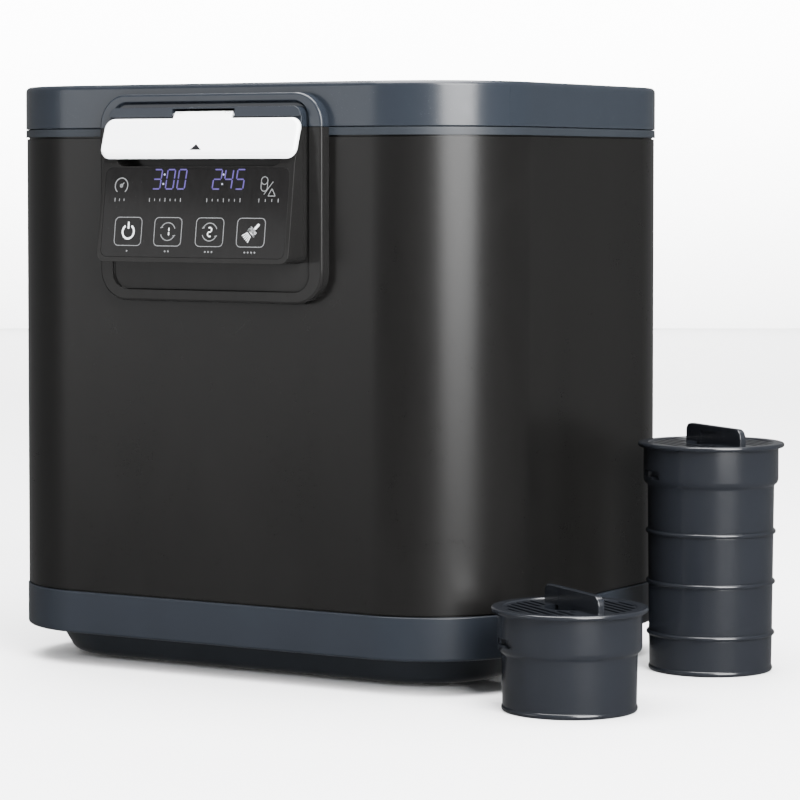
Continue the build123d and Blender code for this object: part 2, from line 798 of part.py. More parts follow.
# ------------------------ pick-up lever, its pin, spring and striker
lever_rise = lever_top - lever_bottom
lever_lean = lever_bottom_reach - lever_top_reach
lever_middle = (0, -front - (lever_top_reach + lever_bottom_reach) / 2, (lever_top + lever_bottom) / 2)
lever_plane = Plane(origin=lever_middle, x_dir=(1, 0, 0), z_dir=(0, -lever_rise, lever_lean))
with BuildPart() as pick_up_lever:
    with BuildSketch(lever_plane):
        RectangleRounded(2 * lever_half_width, math.hypot(lever_rise, lever_lean), lever_corner)
    extrude(amount=-lever_thickness)
    fillet(pick_up_lever.faces().sort_by(Axis.Y)[0].edges(), lever_round)
    with BuildSketch(Plane.YZ):
        with Locations((pin_y, lever_pin_height)):
            Circle(lever_barrel_radius)
        with BuildLine():
            Polyline((pin_y - 1.6, lever_pin_height + 1.5), (pin_y + 1.0, lever_pin_height - 2.0),
                     (-front - lever_top_reach + 1.2, lever_top - 4),
                     (-front - lever_top_reach - 0.5, lever_top - 2.2),
                     (-front - lever_top_reach + 0.4, lever_top - 0.4), close=True)
        make_face()
    extrude(amount=lever_barrel_half, both=True)
    with BuildSketch(Plane.YZ):
        with BuildLine():
            Polyline((pin_y + 0.9, lever_pin_height - 1), (pin_y + 0.9, nose_bottom + 1.6),
                     (pin_y + nose_depth, nose_bottom + 1.2), (pin_y + nose_depth, nose_bottom),
                     (pin_y - 0.9, nose_bottom), (pin_y - 0.9, lever_pin_height - 1), close=True)
        make_face()
    extrude(amount=nose_half, both=True)
    with BuildSketch(Plane.YZ):
        arm_y = pin_y - lever_arm_reach
        arm_foot_y = -front - lever_top_reach
        arm_foot_z = lever_top - lever_arm_wall
        with BuildLine():
            arm_top_z = lever_pin_height + lever_arm_top
            Polyline((arm_y, arm_top_z - 0.4 * lever_arm_wall),
                     (arm_y - 0.5 * lever_arm_wall, arm_top_z - 0.8 * lever_arm_wall),
                     (arm_foot_y - 0.5 * lever_arm_wall, arm_foot_z),
                     (arm_foot_y + lever_arm_wall, arm_foot_z - lever_arm_wall),
                     (arm_y, lever_top), close=True)
        make_face()
    extrude(amount=lever_arm_half, both=True)
    with BuildSketch(Plane.YZ):
        with Locations((pin_y, lever_pin_height)):
            Circle(lever_pin_radius + pin_running)
    extrude(amount=lever_half_width, both=True, mode=Mode.SUBTRACT)
pick_up_lever.part.label = "pick_up_lever"
export_step(pick_up_lever.part, "parts/pick_up_lever.step")

with BuildPart() as lever_pin:
    with BuildSketch(Plane.YZ):
        with Locations((pin_y, lever_pin_height)):
            Circle(lever_pin_radius)
    extrude(amount=lever_slot_half + lever_pin_end, both=True)
lever_pin.part.label = "lever_pin"
export_step(lever_pin.part, "parts/lever_pin.step")

spring_length = lever_arm_half - lever_barrel_half - spring_gap
with BuildPart() as lever_springs:
    for side in (-1, 1):
        with BuildSketch(Plane.YZ.offset(side * (lever_barrel_half + spring_gap + spring_length / 2))):
            with Locations((pin_y, lever_pin_height)):
                Circle(lever_pin_radius + spring_wire)
                Circle(lever_pin_radius + pin_running, mode=Mode.SUBTRACT)
        extrude(amount=spring_length / 2, both=True)
lever_springs.part.label = "lever_springs"
export_step(lever_springs.part, "parts/lever_springs.step")

with BuildPart() as latch_striker:
    with BuildSketch(Plane.XY.offset(collar_top)):
        with Locations((0, pin_y + nose_depth + seam + striker_thickness / 2)):
            Rectangle(2 * (nose_half + striker_side), striker_thickness)
    extrude(amount=striker_height)
    fillet(latch_striker.faces().sort_by(Axis.Z)[-1].edges().filter_by(Axis.Y), striker_round)
latch_striker.part.label = "latch_striker"
export_step(latch_striker.part, "parts/latch_striker.step")

# ------------------------ heated chamber
bucket_axis = Axis((bucket_x, 0, 0), up)
bucket_section = Plane((bucket_x, 0, 0), x_dir=(1, 0, 0), z_dir=(0, -1, 0))
with BuildPart() as heating_chamber:
    with BuildSketch(bucket_section):
        with BuildLine():
            outer = chamber_radius + chamber_wall
            Polyline((clutch_radius + clutch_room, chamber_bottom), (outer, chamber_bottom),
                     (outer, deck_top), (chamber_flange, deck_top),
                     (chamber_flange, chamber_rim), (chamber_radius, chamber_rim),
                     (chamber_radius, chamber_bottom + sheet_floor),
                     (clutch_radius + clutch_room, chamber_bottom + sheet_floor), close=True)
        make_face()
    revolve(axis=bucket_axis)
heating_chamber.part.label = "heating_chamber"
export_step(heating_chamber.part, "parts/heating_chamber.step")

with BuildPart() as heater_ring:
    with BuildSketch(Plane.XY.offset(chamber_bottom)):
        with Locations((bucket_x, 0)):
            Circle(heater_radius)
            Circle(heater_inner, mode=Mode.SUBTRACT)
    extrude(amount=-heater_thickness)
heater_ring.part.label = "heater_ring"
export_step(heater_ring.part, "parts/heater_ring.step")

with BuildPart() as temperature_sensor:
    with BuildSketch(Plane.XY.offset(chamber_bottom)):
        with Locations((bucket_x, heater_radius + probe_reach)):
            RectangleRounded(probe_length, probe_width, probe_corner)
    extrude(amount=-probe_height)
temperature_sensor.part.label = "temperature_sensor"
export_step(temperature_sensor.part, "parts/temperature_sensor.step")

# ------------------------ bucket with its bail and shaft bush
bush_radius = rotor_shaft_radius + bush_wall
with BuildPart() as waste_bucket:
    with BuildSketch(bucket_section):
        with BuildLine():
            floor = bucket_bottom + bucket_wall
            Polyline((bush_radius, bucket_bottom), (bucket_base_radius - bucket_chamfer, bucket_bottom),
                     (bucket_base_radius, bucket_bottom + bucket_chamfer),
                     (bucket_top_radius, chamber_rim),
                     (bucket_rim_radius, chamber_rim), (bucket_rim_radius, bucket_rim_top),
                     (bucket_top_radius - bucket_wall, bucket_rim_top),
                     (bucket_base_radius - bucket_wall, floor + bucket_chamfer),
                     (bucket_base_radius - bucket_wall - bucket_chamfer, floor),
                     (boss_radius + boss_chamfer, floor), (boss_radius, floor + boss_chamfer),
                     (boss_radius, bucket_bottom + boss_height),
                     (bush_radius, bucket_bottom + boss_height),
                     close=True)
        make_face()
    revolve(axis=bucket_axis)
    for side in (-1, 1):
        with BuildSketch(Plane.YZ.offset(bucket_x + side * (ear_inner + ear_outer) / 2)):
            with Locations((0, bucket_rim_top + ear_height / 2)):
                RectangleRounded(ear_width, ear_height + 2 * ear_sink, ear_corner)
            with Locations((0, bucket_rim_top + ear_foot / 2)):
                Rectangle(ear_width, ear_foot)
            with Locations((0, bucket_rim_top + ear_height / 2)):
                Circle(bail_wire + pin_running, mode=Mode.SUBTRACT)
        extrude(amount=(ear_outer - ear_inner) / 2, both=True)
waste_bucket.part.label = "waste_bucket"
export_step(waste_bucket.part, "parts/waste_bucket.step")

bail_z = bucket_rim_top + ear_height / 2
with BuildPart() as bucket_bail:
    with BuildSketch(bucket_section):
        with Locations((bail_radius, bail_z)):
            Circle(bail_wire)
    revolve(axis=bucket_axis, revolution_arc=-180)
    for side in (-1, 1):
        with BuildSketch(Plane.YZ.offset(bucket_x + side * bail_radius)):
            with Locations((0, bail_z)):
                Circle(bail_wire)
        extrude(amount=side * (ear_outer - bail_radius))
        with Locations((bucket_x + side * bail_radius, 0, bail_z)):
            Sphere(bail_wire)
bucket_bail.part.label = "bucket_bail"
export_step(bucket_bail.part, "parts/bucket_bail.step")

with BuildPart() as shaft_bush:
    with BuildSketch(Plane.XY.offset(bucket_bottom)):
        with Locations((bucket_x, 0)):
            Circle(bush_radius)
            Circle(rotor_shaft_radius + pin_running, mode=Mode.SUBTRACT)
    extrude(amount=boss_height)
shaft_bush.part.label = "shaft_bush"
export_step(shaft_bush.part, "parts/shaft_bush.step")

# ------------------------ stirring rotor
blade_bottom = bucket_bottom + bucket_wall + rotor_lift
hub_top = bucket_bottom + boss_height + hub_height


def sickle(reach, breadth):
    """A curved arm from the hub outwards, seen from above, that sweeps back at its tip."""
    with BuildLine() as arm:
        lead = ThreePointArc((0, breadth / 2), (reach * 0.55, breadth * 1.1), (reach, -breadth * 0.9))
        tip_end = Line(lead @ 1, (reach - breadth * 0.45, -breadth * 1.5))
        trail = ThreePointArc(tip_end @ 1, (reach * 0.52, 0.1), (0, -breadth / 2))
        Line(trail @ 1, (0, breadth / 2))
    make_face(arm.line.edges())


with BuildPart() as stirring_rotor:
    for start in (0, 180):
        with BuildSketch(Plane((bucket_x, 0, blade_bottom)).rotated((0, 0, start))):
            sickle(sweep_reach, sweep_width)
        extrude(amount=sweep_height)
    for start in (90, 270):
        with BuildSketch(Plane((bucket_x, 0, hub_top)).rotated((0, 0, start))):
            sickle(paddle_reach, sweep_width)
        extrude(amount=paddle_height)
    with BuildSketch(bucket_section):
        with BuildLine():
            Polyline((0, blade_bottom), (hub_radius, blade_bottom), (hub_radius, hub_top - hub_chamfer),
                     (post_radius + post_foot, hub_top),
                     (post_radius + post_step, hub_top + paddle_height),
                     (post_radius, hub_top + post_height - post_chamfer),
                     (post_radius - post_tip, hub_top + post_height),
                     (0, hub_top + post_height), close=True)
        make_face()
    revolve(axis=bucket_axis)
    with BuildSketch(Plane((bucket_x, 0, blade_bottom))):
        Circle(boss_radius + boss_play)
    extrude(amount=bucket_bottom + boss_height + boss_play - blade_bottom, mode=Mode.SUBTRACT)
stirring_rotor.part.label = "stirring_rotor"
export_step(stirring_rotor.part, "parts/stirring_rotor.step")

clutch_bottom = chamber_bottom + sheet_floor + clutch_lift
jaw_bottom = clutch_bottom + clutch_plate
jaw_top = jaw_bottom + clutch_jaw
driven_bottom = jaw_top + clutch_gap


def ring_sector(outer_radius, inner_radius, middle, spread):
    """A piece of a flat ring about the sketch's origin."""
    with BuildLine() as sector:
        outside = CenterArc((0, 0), outer_radius, middle - spread / 2, spread)
        inside = CenterArc((0, 0), inner_radius, middle - spread / 2, spread)
        Line(outside @ 0, inside @ 0)
        Line(outside @ 1, inside @ 1)
    make_face(sector.line.edges())


def clutch_jaw_faces(start):
    """The jaws of a dog clutch, seen along the bucket's axis."""
    for jaw in range(clutch_jaws):
        middle = start + 360 * jaw / clutch_jaws
        ring_sector(clutch_radius, shaft_radius + jaw_root, middle, clutch_jaw_angle)


with BuildPart() as drive_coupler:
    with BuildSketch(Plane((bucket_x, 0, clutch_bottom))):
        Circle(clutch_radius)
        Circle(shaft_radius, mode=Mode.SUBTRACT)
    extrude(amount=clutch_plate)
    with BuildSketch(Plane((bucket_x, 0, jaw_bottom))):
        clutch_jaw_faces(0)
    extrude(amount=clutch_jaw)
drive_coupler.part.label = "drive_coupler"
export_step(drive_coupler.part, "parts/drive_coupler.step")

with BuildPart() as rotor_shaft:
    with BuildSketch(Plane((bucket_x, 0, driven_bottom))):
        Circle(clutch_radius)
    extrude(amount=bucket_bottom - driven_bottom - seam)
    with BuildSketch(Plane((bucket_x, 0, driven_bottom))):
        clutch_jaw_faces(180 / clutch_jaws)
    extrude(amount=-clutch_jaw)
    with BuildSketch(Plane((bucket_x, 0, driven_bottom))):
        Circle(rotor_shaft_radius)
    extrude(amount=bucket_bottom + boss_height + shaft_end - driven_bottom)
rotor_shaft.part.label = "rotor_shaft"
export_step(rotor_shaft.part, "parts/rotor_shaft.step")

# ------------------------ chassis, load cell and gearbox
with BuildPart() as chassis_plate:
    with BuildSketch(Plane.XY.offset(chassis_top - chassis_thickness)):
        RectangleRounded(2 * chassis_half_x, 2 * chassis_half_y, chassis_corner)
        with GridLocations(2 * chassis_slot_x, 2 * chassis_slot_y, 2, 2):
            RectangleRounded(chassis_slot_length, chassis_slot_width, chassis_slot_corner,
                             mode=Mode.SUBTRACT)
    extrude(amount=chassis_thickness)
chassis_plate.part.label = "chassis_plate"
export_step(chassis_plate.part, "parts/chassis_plate.step")

with BuildPart() as load_cell:
    bar_x = load_boss_x + load_bar_length / 2 - load_bar_overlap
    bar_middle = load_bar_bottom + load_bar_height / 2
    with BuildSketch(front_plane(0)):
        with Locations((bar_x, bar_middle)):
            Rectangle(load_bar_length, load_bar_height)
            with GridLocations(load_hole_pitch, 0, 2, 1):
                Circle(load_hole_radius, mode=Mode.SUBTRACT)
            Rectangle(load_hole_pitch, load_slot_height, mode=Mode.SUBTRACT)
    extrude(amount=load_bar_half_width, both=True)
    far_pad = (2 * bar_x - load_boss_x, load_bar_bottom + load_bar_height)
    for x, z in ((load_boss_x, load_bar_bottom - load_pad), far_pad):
        with BuildSketch(Plane.XY.offset(z)):
            with Locations((x, 0)):
                Rectangle(load_pad_length, load_pad_width)
        extrude(amount=load_pad)
load_cell.part.label = "load_cell"
export_step(load_cell.part, "parts/load_cell.step")


def gearbox_outline(play):
    """The outline that wraps the three gears, with some play round them."""
    with Locations((bucket_x, 0)):
        Circle(gear_module * output_teeth / 2 + addendum + play)
    with Locations((idler_x, 0)):
        Circle(gear_module * idler_large_teeth / 2 + addendum + play)
    with Locations((motor_x, 0)):
        Circle(gear_module * pinion_teeth / 2 + addendum + play)
    make_hull()


box_floor = chassis_top + gearbox_wall
with BuildPart() as gearbox_housing:
    with BuildSketch(Plane.XY.offset(chassis_top)):
        gearbox_outline(gearbox_play + gearbox_wall)
    extrude(amount=gearbox_top - chassis_top)
    with BuildSketch(Plane.XY.offset(box_floor)):
        gearbox_outline(gearbox_play)
    extrude(amount=gearbox_top - box_floor, mode=Mode.SUBTRACT)
    with BuildSketch(Plane.XY.offset(box_floor)):
        with Locations((bucket_x, 0)):
            Circle(bearing_radius + boss_wall)
            Circle(bearing_radius, mode=Mode.SUBTRACT)
        with Locations((idler_x, 0)):
            Circle(idler_pin_radius + boss_wall)
            Circle(idler_pin_radius, mode=Mode.SUBTRACT)
    extrude(amount=bearing_height)
gearbox_housing.part.label = "gearbox_housing"
export_step(gearbox_housing.part, "parts/gearbox_housing.step")

cover_top = gearbox_top + cover_thickness
cover_boss_height = bearing_height + 1.0
with BuildPart() as gearbox_cover:
    with BuildSketch(Plane.XY.offset(gearbox_top)):
        gearbox_outline(gearbox_play + gearbox_wall)
        with Locations((motor_x, 0)):
            Circle(motor_radius + motor_seat_rim)
        with Locations((motor_x, motor_ear_pitch / 2), (motor_x, -motor_ear_pitch / 2)):
            Circle(motor_pad_radius)
            Rectangle(2 * motor_pad_radius, motor_pad_length)
    extrude(amount=cover_thickness)
    with BuildSketch(Plane.XY.offset(gearbox_top)):
        with Locations((bucket_x, 0)):
            Circle(bearing_radius + boss_wall)
    extrude(amount=cover_boss_height)
    with BuildSketch(Plane.XY.offset(gearbox_top)):
        with Locations((bucket_x, 0)):
            Circle(bearing_radius)
        with Locations((motor_x, 0)):
            Circle(motor_shaft_radius + motor_shaft_hole)
    extrude(amount=cover_boss_height, mode=Mode.SUBTRACT)
gearbox_cover.part.label = "gearbox_cover"
export_step(gearbox_cover.part, "parts/gearbox_cover.step")

with BuildPart() as shaft_bearings:
    for height in (box_floor, gearbox_top + bearing_lift):
        with BuildSketch(Plane((bucket_x, 0, height))):
            Circle(bearing_radius)
            Circle(shaft_radius + pin_running, mode=Mode.SUBTRACT)
        extrude(amount=bearing_height)
shaft_bearings.part.label = "shaft_bearings"
export_step(shaft_bearings.part, "parts/shaft_bearings.step")


def gear_face(teeth, phase, flank_points):
    """A spur gear's outline about the sketch's origin, with involute flanks and a chosen tooth phase."""
    pitch = gear_module * teeth / 2
    base = pitch * math.cos(math.radians(pressure_angle))
    tip = pitch + addendum
    root = pitch - dedendum
    half_tooth = (math.pi * gear_module / 2 - backlash) / 2 / pitch
    roll_at_pitch = math.tan(math.radians(pressure_angle)) - math.radians(pressure_angle)

    def half_angle(radius):
        pressure = math.acos(min(1.0, base / max(radius, base)))
        return half_tooth + roll_at_pitch - (math.tan(pressure) - pressure)

    points = []
    for tooth in range(teeth):
        middle = math.radians(phase) + 2 * math.pi * tooth / teeth
        flank = [root + (tip - root) * step / (flank_points - 1) for step in range(flank_points)]
        for side, radii in ((-1, flank), (1, flank[::-1])):
            for radius in radii:
                angle = middle + side * half_angle(radius)
                points.append((radius * math.cos(angle), radius * math.sin(angle)))
    with BuildLine() as teeth_line:
        Polyline(*points, close=True)
    make_face(teeth_line.line.edges())


with BuildPart() as output_gear:
    with BuildSketch(Plane((bucket_x, 0, low_gear_bottom))):
        gear_face(output_teeth, 0, 2)
        Circle(shaft_radius, mode=Mode.SUBTRACT)
        with PolarLocations(gear_hole_place * gear_module * output_teeth / 2, gear_holes):
            Circle(output_hole_radius, mode=Mode.SUBTRACT)
    extrude(amount=low_gear_top - low_gear_bottom)
output_gear.part.label = "output_gear"
export_step(output_gear.part, "parts/output_gear.step")

with BuildPart() as output_shaft:
    with BuildSketch(Plane((bucket_x, 0, box_floor + shaft_lift))):
        Circle(shaft_radius)
    extrude(amount=jaw_bottom - box_floor - shaft_lift)
output_shaft.part.label = "output_shaft"
export_step(output_shaft.part, "parts/output_shaft.step")

half_pitch = 180.0 / idler_small_teeth
with BuildPart() as idler_gear:
    with BuildSketch(Plane((idler_x, 0, low_gear_bottom))):
        gear_face(idler_small_teeth, half_pitch, 3)
    extrude(amount=high_gear_bottom - low_gear_bottom)
    with BuildSketch(Plane((idler_x, 0, high_gear_bottom))):
        gear_face(idler_large_teeth, 0, 2)
        hole_circle = gear_hole_place * gear_module * idler_large_teeth / 2
        with PolarLocations(hole_circle, gear_holes, start_angle=180 / gear_holes):
            Circle(idler_hole_radius, mode=Mode.SUBTRACT)
    extrude(amount=high_gear_top - high_gear_bottom)
    with BuildSketch(Plane((idler_x, 0, low_gear_bottom))):
        Circle(idler_pin_radius + pin_running)
    extrude(amount=high_gear_top - low_gear_bottom, mode=Mode.SUBTRACT)
idler_gear.part.label = "idler_gear"
export_step(idler_gear.part, "parts/idler_gear.step")

with BuildPart() as idler_pin:
    with BuildSketch(Plane((idler_x, 0, box_floor))):
        Circle(idler_pin_radius)
    extrude(amount=gearbox_top - box_floor)
idler_pin.part.label = "idler_pin"
export_step(idler_pin.part, "parts/idler_pin.step")

# ------------------------ motor
motor_top = cover_top + motor_height
motor_shaft_bottom = high_gear_bottom - pinion_overhang - shaft_end
motor_shaft_top = cover_top + motor_shaft_rise
with BuildPart() as motor_pinion:
    with BuildSketch(Plane((motor_x, 0, high_gear_bottom - pinion_overhang))):
        gear_face(pinion_teeth, half_pitch, 3)
        Circle(motor_shaft_radius, mode=Mode.SUBTRACT)
    extrude(amount=high_gear_top - high_gear_bottom + 2 * pinion_overhang)
motor_pinion.part.label = "motor_pinion"
export_step(motor_pinion.part, "parts/motor_pinion.step")

with BuildPart() as motor_shaft:
    with BuildSketch(Plane((motor_x, 0, motor_shaft_bottom))):
        Circle(motor_shaft_radius)
    extrude(amount=motor_shaft_top - motor_shaft_bottom)
motor_shaft.part.label = "motor_shaft"
export_step(motor_shaft.part, "parts/motor_shaft.step")

with BuildPart() as drive_motor:
    with BuildSketch(Plane((motor_x, 0, cover_top))):
        Circle(motor_radius)
    extrude(amount=motor_height)
    fillet(drive_motor.faces().sort_by(Axis.Z)[-1].edges(), motor_round)
    with BuildSketch(Plane((motor_x, 0, cover_top))):
        Rectangle(motor_ear_width, motor_ear_pitch)
        with Locations((0, motor_ear_pitch / 2), (0, -motor_ear_pitch / 2)):
            Circle(motor_ear_radius)
    extrude(amount=motor_ear_thickness)
    with BuildSketch(Plane((motor_x, 0, motor_top))):
        Circle(motor_cap_radius)
    extrude(amount=motor_cap_height)
    with BuildSketch(Plane((motor_x, 0, cover_top))):
        Circle(motor_shaft_radius + pin_running)
    extrude(amount=motor_shaft_top - cover_top + shaft_end, mode=Mode.SUBTRACT)
drive_motor.part.label = "drive_motor"
export_step(drive_motor.part, "parts/drive_motor.step")

with BuildPart() as motor_screws:
    with BuildSketch(Plane((motor_x, 0, cover_top + motor_ear_thickness))):
        with Locations((0, motor_ear_pitch / 2), (0, -motor_ear_pitch / 2)):
            RegularPolygon(2 * screw_radius, 6)
    extrude(amount=screw_head)
motor_screws.part.label = "motor_screws"
export_step(motor_screws.part, "parts/motor_screws.step")

# ------------------------ filter wells, duct and fan


def filter_well(y, height):
    """A round pocket that hangs from the deck, with a floor and an outlet to the duct."""
    floor_top = deck_top - height
    with BuildPart() as well:
        with BuildSketch(Plane((well_x, y, floor_top - well_wall))):
            Circle(well_radius + well_wall)
        extrude(amount=deck_top - floor_top + well_wall)
        with BuildSketch(Plane((well_x, y, deck_top))):
            Circle(well_flange)
        extrude(amount=sheet_floor)
        with BuildSketch(Plane((well_x, y, floor_top))):
            Circle(well_radius)
        extrude(amount=height + sheet_floor, mode=Mode.SUBTRACT)
        with BuildSketch(Plane((well_x, y, floor_top - well_wall))):
            with Locations((duct_x - well_x, 0)):
                Circle(duct_radius - duct_wall)
                Rectangle(2 * duct_radius, outlet_bar, mode=Mode.SUBTRACT)
                Rectangle(outlet_bar, 2 * duct_radius, mode=Mode.SUBTRACT)
        extrude(amount=well_wall, mode=Mode.SUBTRACT)
    return well


tall_well = filter_well(-well_y, tall_height)
tall_well.part.label = "tall_filter_well"
export_step(tall_well.part, "parts/tall_filter_well.step")

short_well = filter_well(well_y, short_height)
short_well.part.label = "short_filter_well"
export_step(short_well.part, "parts/short_filter_well.step")

duct_tall_top = deck_top - tall_height - well_wall
duct_short_top = deck_top - short_height - well_wall
fan_front = depth / 2 - shell_inset - wall - grille_flange - fan_depth


def duct_solid(radius, shroud_radius):
    """The duct's outside or inside: two drops from the wells, a run to the fan and its shroud."""
    with BuildPart() as run:
        with BuildLine():
            FilletPolyline((duct_x, -well_y, duct_tall_top), (duct_x, -well_y, duct_z),
                           (duct_x, duct_level_y, duct_z), (fan_x, duct_turn_y, duct_z),
                           (fan_x, shroud_start, duct_z), radius=duct_bend)
        with BuildSketch(Plane((duct_x, -well_y, duct_tall_top))):
            Circle(radius)
        sweep()
        with BuildSketch(Plane((duct_x, well_y, duct_z))):
            Circle(radius)
        extrude(amount=duct_short_top - duct_z)
        with BuildSketch(front_plane(-shroud_start)):
            with Locations((fan_x, duct_z)):
                Circle(radius)
        with BuildSketch(front_plane(-fan_front)):
            with Locations((fan_x, duct_z)):
                Circle(shroud_radius)
        loft()
    return run


duct_hollow = duct_solid(duct_radius - duct_wall, fan_bore - duct_wall)
exhaust_duct = duct_solid(duct_radius, fan_bore)
with exhaust_duct:
    add(duct_hollow.part, mode=Mode.SUBTRACT)
exhaust_duct.part.label = "exhaust_duct"
export_step(exhaust_duct.part, "parts/exhaust_duct.step")

fan_back = fan_front + fan_depth
with BuildPart() as fan_housing:
    with BuildSketch(front_plane(-fan_back)):
        with Locations((fan_x, duct_z)):
            RectangleRounded(fan_size, fan_size, fan_corner)
            Circle(fan_bore, mode=Mode.SUBTRACT)
            with GridLocations(fan_size - 2 * fan_hole_margin, fan_size - 2 * fan_hole_margin, 2, 2):
                Circle(fan_hole_radius, mode=Mode.SUBTRACT)
    extrude(amount=fan_depth)
    with BuildSketch(front_plane(-fan_back)):
        with Locations((fan_x, duct_z)):
            Circle(fan_hub_radius)
            Rectangle(2 * fan_bore + fan_wall, fan_spoke)
            Rectangle(fan_spoke, 2 * fan_bore + fan_wall)
            Circle(fan_pin_radius + pin_running, mode=Mode.SUBTRACT)
    extrude(amount=fan_wall)
fan_housing.part.label = "fan_housing"
export_step(fan_housing.part, "parts/fan_housing.step")

impeller_back = fan_back - fan_wall - impeller_gap
with BuildPart() as fan_impeller:
    with BuildSketch(front_plane(-impeller_back)):
        with Locations((fan_x, duct_z)):
            Circle(fan_hub_radius)
    extrude(amount=impeller_depth)
    with BuildSketch(front_plane(-impeller_back + impeller_gap)):
        with Locations((fan_x, duct_z)):
            with PolarLocations((fan_hub_radius + fan_tip) / 2 - impeller_gap, fan_blades):
                Rectangle(fan_tip - fan_hub_radius + impeller_gap, blade_thickness, rotation=blade_angle)
    extrude(amount=impeller_depth - blade_clearance)
    with BuildSketch(front_plane(-fan_back)):
        with Locations((fan_x, duct_z)):
            Circle(fan_pin_radius)
    extrude(amount=fan_back - impeller_back + impeller_gap)
fan_impeller.part.label = "fan_impeller"
export_step(fan_impeller.part, "parts/fan_impeller.step")

# ------------------------ mains inlet and power board
inlet_face = shell_front + inlet_flange
with BuildPart() as mains_inlet:
    with BuildSketch(front_plane(-shell_front)):
        with Locations((inlet_x, inlet_z)):
            RectangleRounded(inlet_width + 2 * inlet_rim, inlet_height + 2 * inlet_rim, inlet_rim_corner)
    extrude(amount=-inlet_flange)
    with BuildSketch(front_plane(-shell_front)):
        with Locations((inlet_x, inlet_z)):
            RectangleRounded(inlet_width - 2 * seam, inlet_height - 2 * seam, inlet_body_corner)
    extrude(amount=inlet_depth)
    with BuildSketch(front_plane(-inlet_face)):
        with Locations((inlet_x, inlet_z)):
            RectangleRounded(inlet_width - 2 * socket_wall, inlet_height - 2 * socket_wall, socket_corner)
    extrude(amount=socket_depth, mode=Mode.SUBTRACT)
mains_inlet.part.label = "mains_inlet"
export_step(mains_inlet.part, "parts/mains_inlet.step")

with BuildPart() as inlet_contacts:
    with BuildSketch(front_plane(-inlet_face + socket_depth)):
        line_z = inlet_z - line_drop
        with Locations((inlet_x - pin_spacing, line_z), (inlet_x + pin_spacing, line_z)):
            Rectangle(contact_width, contact_height)
        with Locations((inlet_x, inlet_z + earth_rise)):
            Rectangle(contact_width, contact_height)
    extrude(amount=-contact_length)
inlet_contacts.part.label = "inlet_contacts"
export_step(inlet_contacts.part, "parts/inlet_contacts.step")

board_bottom = tray_floor + board_post_height
with BuildPart() as power_board:
    with BuildSketch(Plane((board_x, board_y, board_bottom))):
        Rectangle(power_board_length, power_board_width)
    extrude(amount=board_thickness)
    board_top = board_bottom + board_thickness
    with BuildSketch(Plane((board_x, board_y, board_top))):
        with Locations((relay_x, 0)):
            Rectangle(relay_length, relay_width)
        with Locations((filter_x, filter_y)):
            Rectangle(filter_length, filter_width)
    extrude(amount=block_height)
    with BuildSketch(Plane((board_x, board_y, board_top))):
        with Locations(*capacitor_places):
            Circle(capacitor_radius)
    extrude(amount=capacitor_height)
power_board.part.label = "power_board"
export_step(power_board.part, "parts/power_board.step")

# ------------------------ filter canisters


def tube_radius(z, collar_bottom):
    """The tube's outer radius at a height; it narrows towards its foot."""
    return tube_top_radius - canister_draft * (collar_bottom - z)


def canister_body(place, height, beads):
    """A draughted tube with raised beads, a wider collar and bayonet slots."""
    x, y = place
    rim = height - cap_thickness
    collar_bottom = height - collar_height
    section = Plane((x, y, 0), x_dir=(1, 0, 0), z_dir=(0, -1, 0))
    foot = tube_radius(0, collar_bottom)
    foot_ring = foot + tube_foot_proud
    outline = [(foot - 2 * tube_foot_proud, 0), (foot_ring, 1.0), (foot_ring, 2.2),
               (foot - 0.1, tube_foot_height)]
    for bead in sorted(beads):
        skin = tube_radius(bead, collar_bottom)
        outline += [(skin, bead - bead_height / 2), (skin + bead_proud, bead - bead_height / 5),
                    (skin + bead_proud, bead + bead_height / 5), (skin, bead + bead_height / 2)]
    outline += [(tube_top_radius, collar_bottom - 1.6), (tube_top_radius + 0.7, collar_bottom - 0.8),
                (collar_radius - 0.6, collar_bottom + 0.9), (collar_radius, collar_bottom + 2.4),
                (collar_radius, rim), (collar_radius - collar_wall, rim),
                (collar_radius - collar_wall, collar_bottom + 1.2),
                (tube_top_radius - tube_wall, collar_bottom - 0.5), (foot - tube_wall, tube_wall)]
    with BuildPart() as body:
        with BuildSketch(section):
            with BuildLine():
                Polyline((0, 0), *outline, (0, tube_wall), close=True)
            make_face()
        revolve(axis=Axis((x, y, 0), up))
        with BuildSketch(Plane((x, y, 0))):
            with PolarLocations(drain_circle, drain_holes):
                RectangleRounded(drain_length, drain_width, drain_corner)
        extrude(amount=tube_wall, mode=Mode.SUBTRACT)
        slot_middle = lug_azimuth + twist / 2
        slot_width = 2 * collar_radius * math.sin(math.radians((twist + lug_angle) / 2)) + 2 * slot_play
        for lug in range(lugs):
            azimuth = slot_middle + 360 * lug / lugs
            outward = (math.cos(math.radians(azimuth)), math.sin(math.radians(azimuth)), 0)
            along = (-outward[1], outward[0], 0)
            with BuildSketch(Plane((x, y, height - lug_drop), x_dir=along, z_dir=outward)):
                Rectangle(slot_width, lug_height + 2 * slot_play)
                with Locations(((slot_width - entry_width) / 2, -entry_height / 2)):
                    Rectangle(entry_width, lug_height + entry_height)
            extrude(amount=2 * collar_radius, mode=Mode.SUBTRACT)
    return body


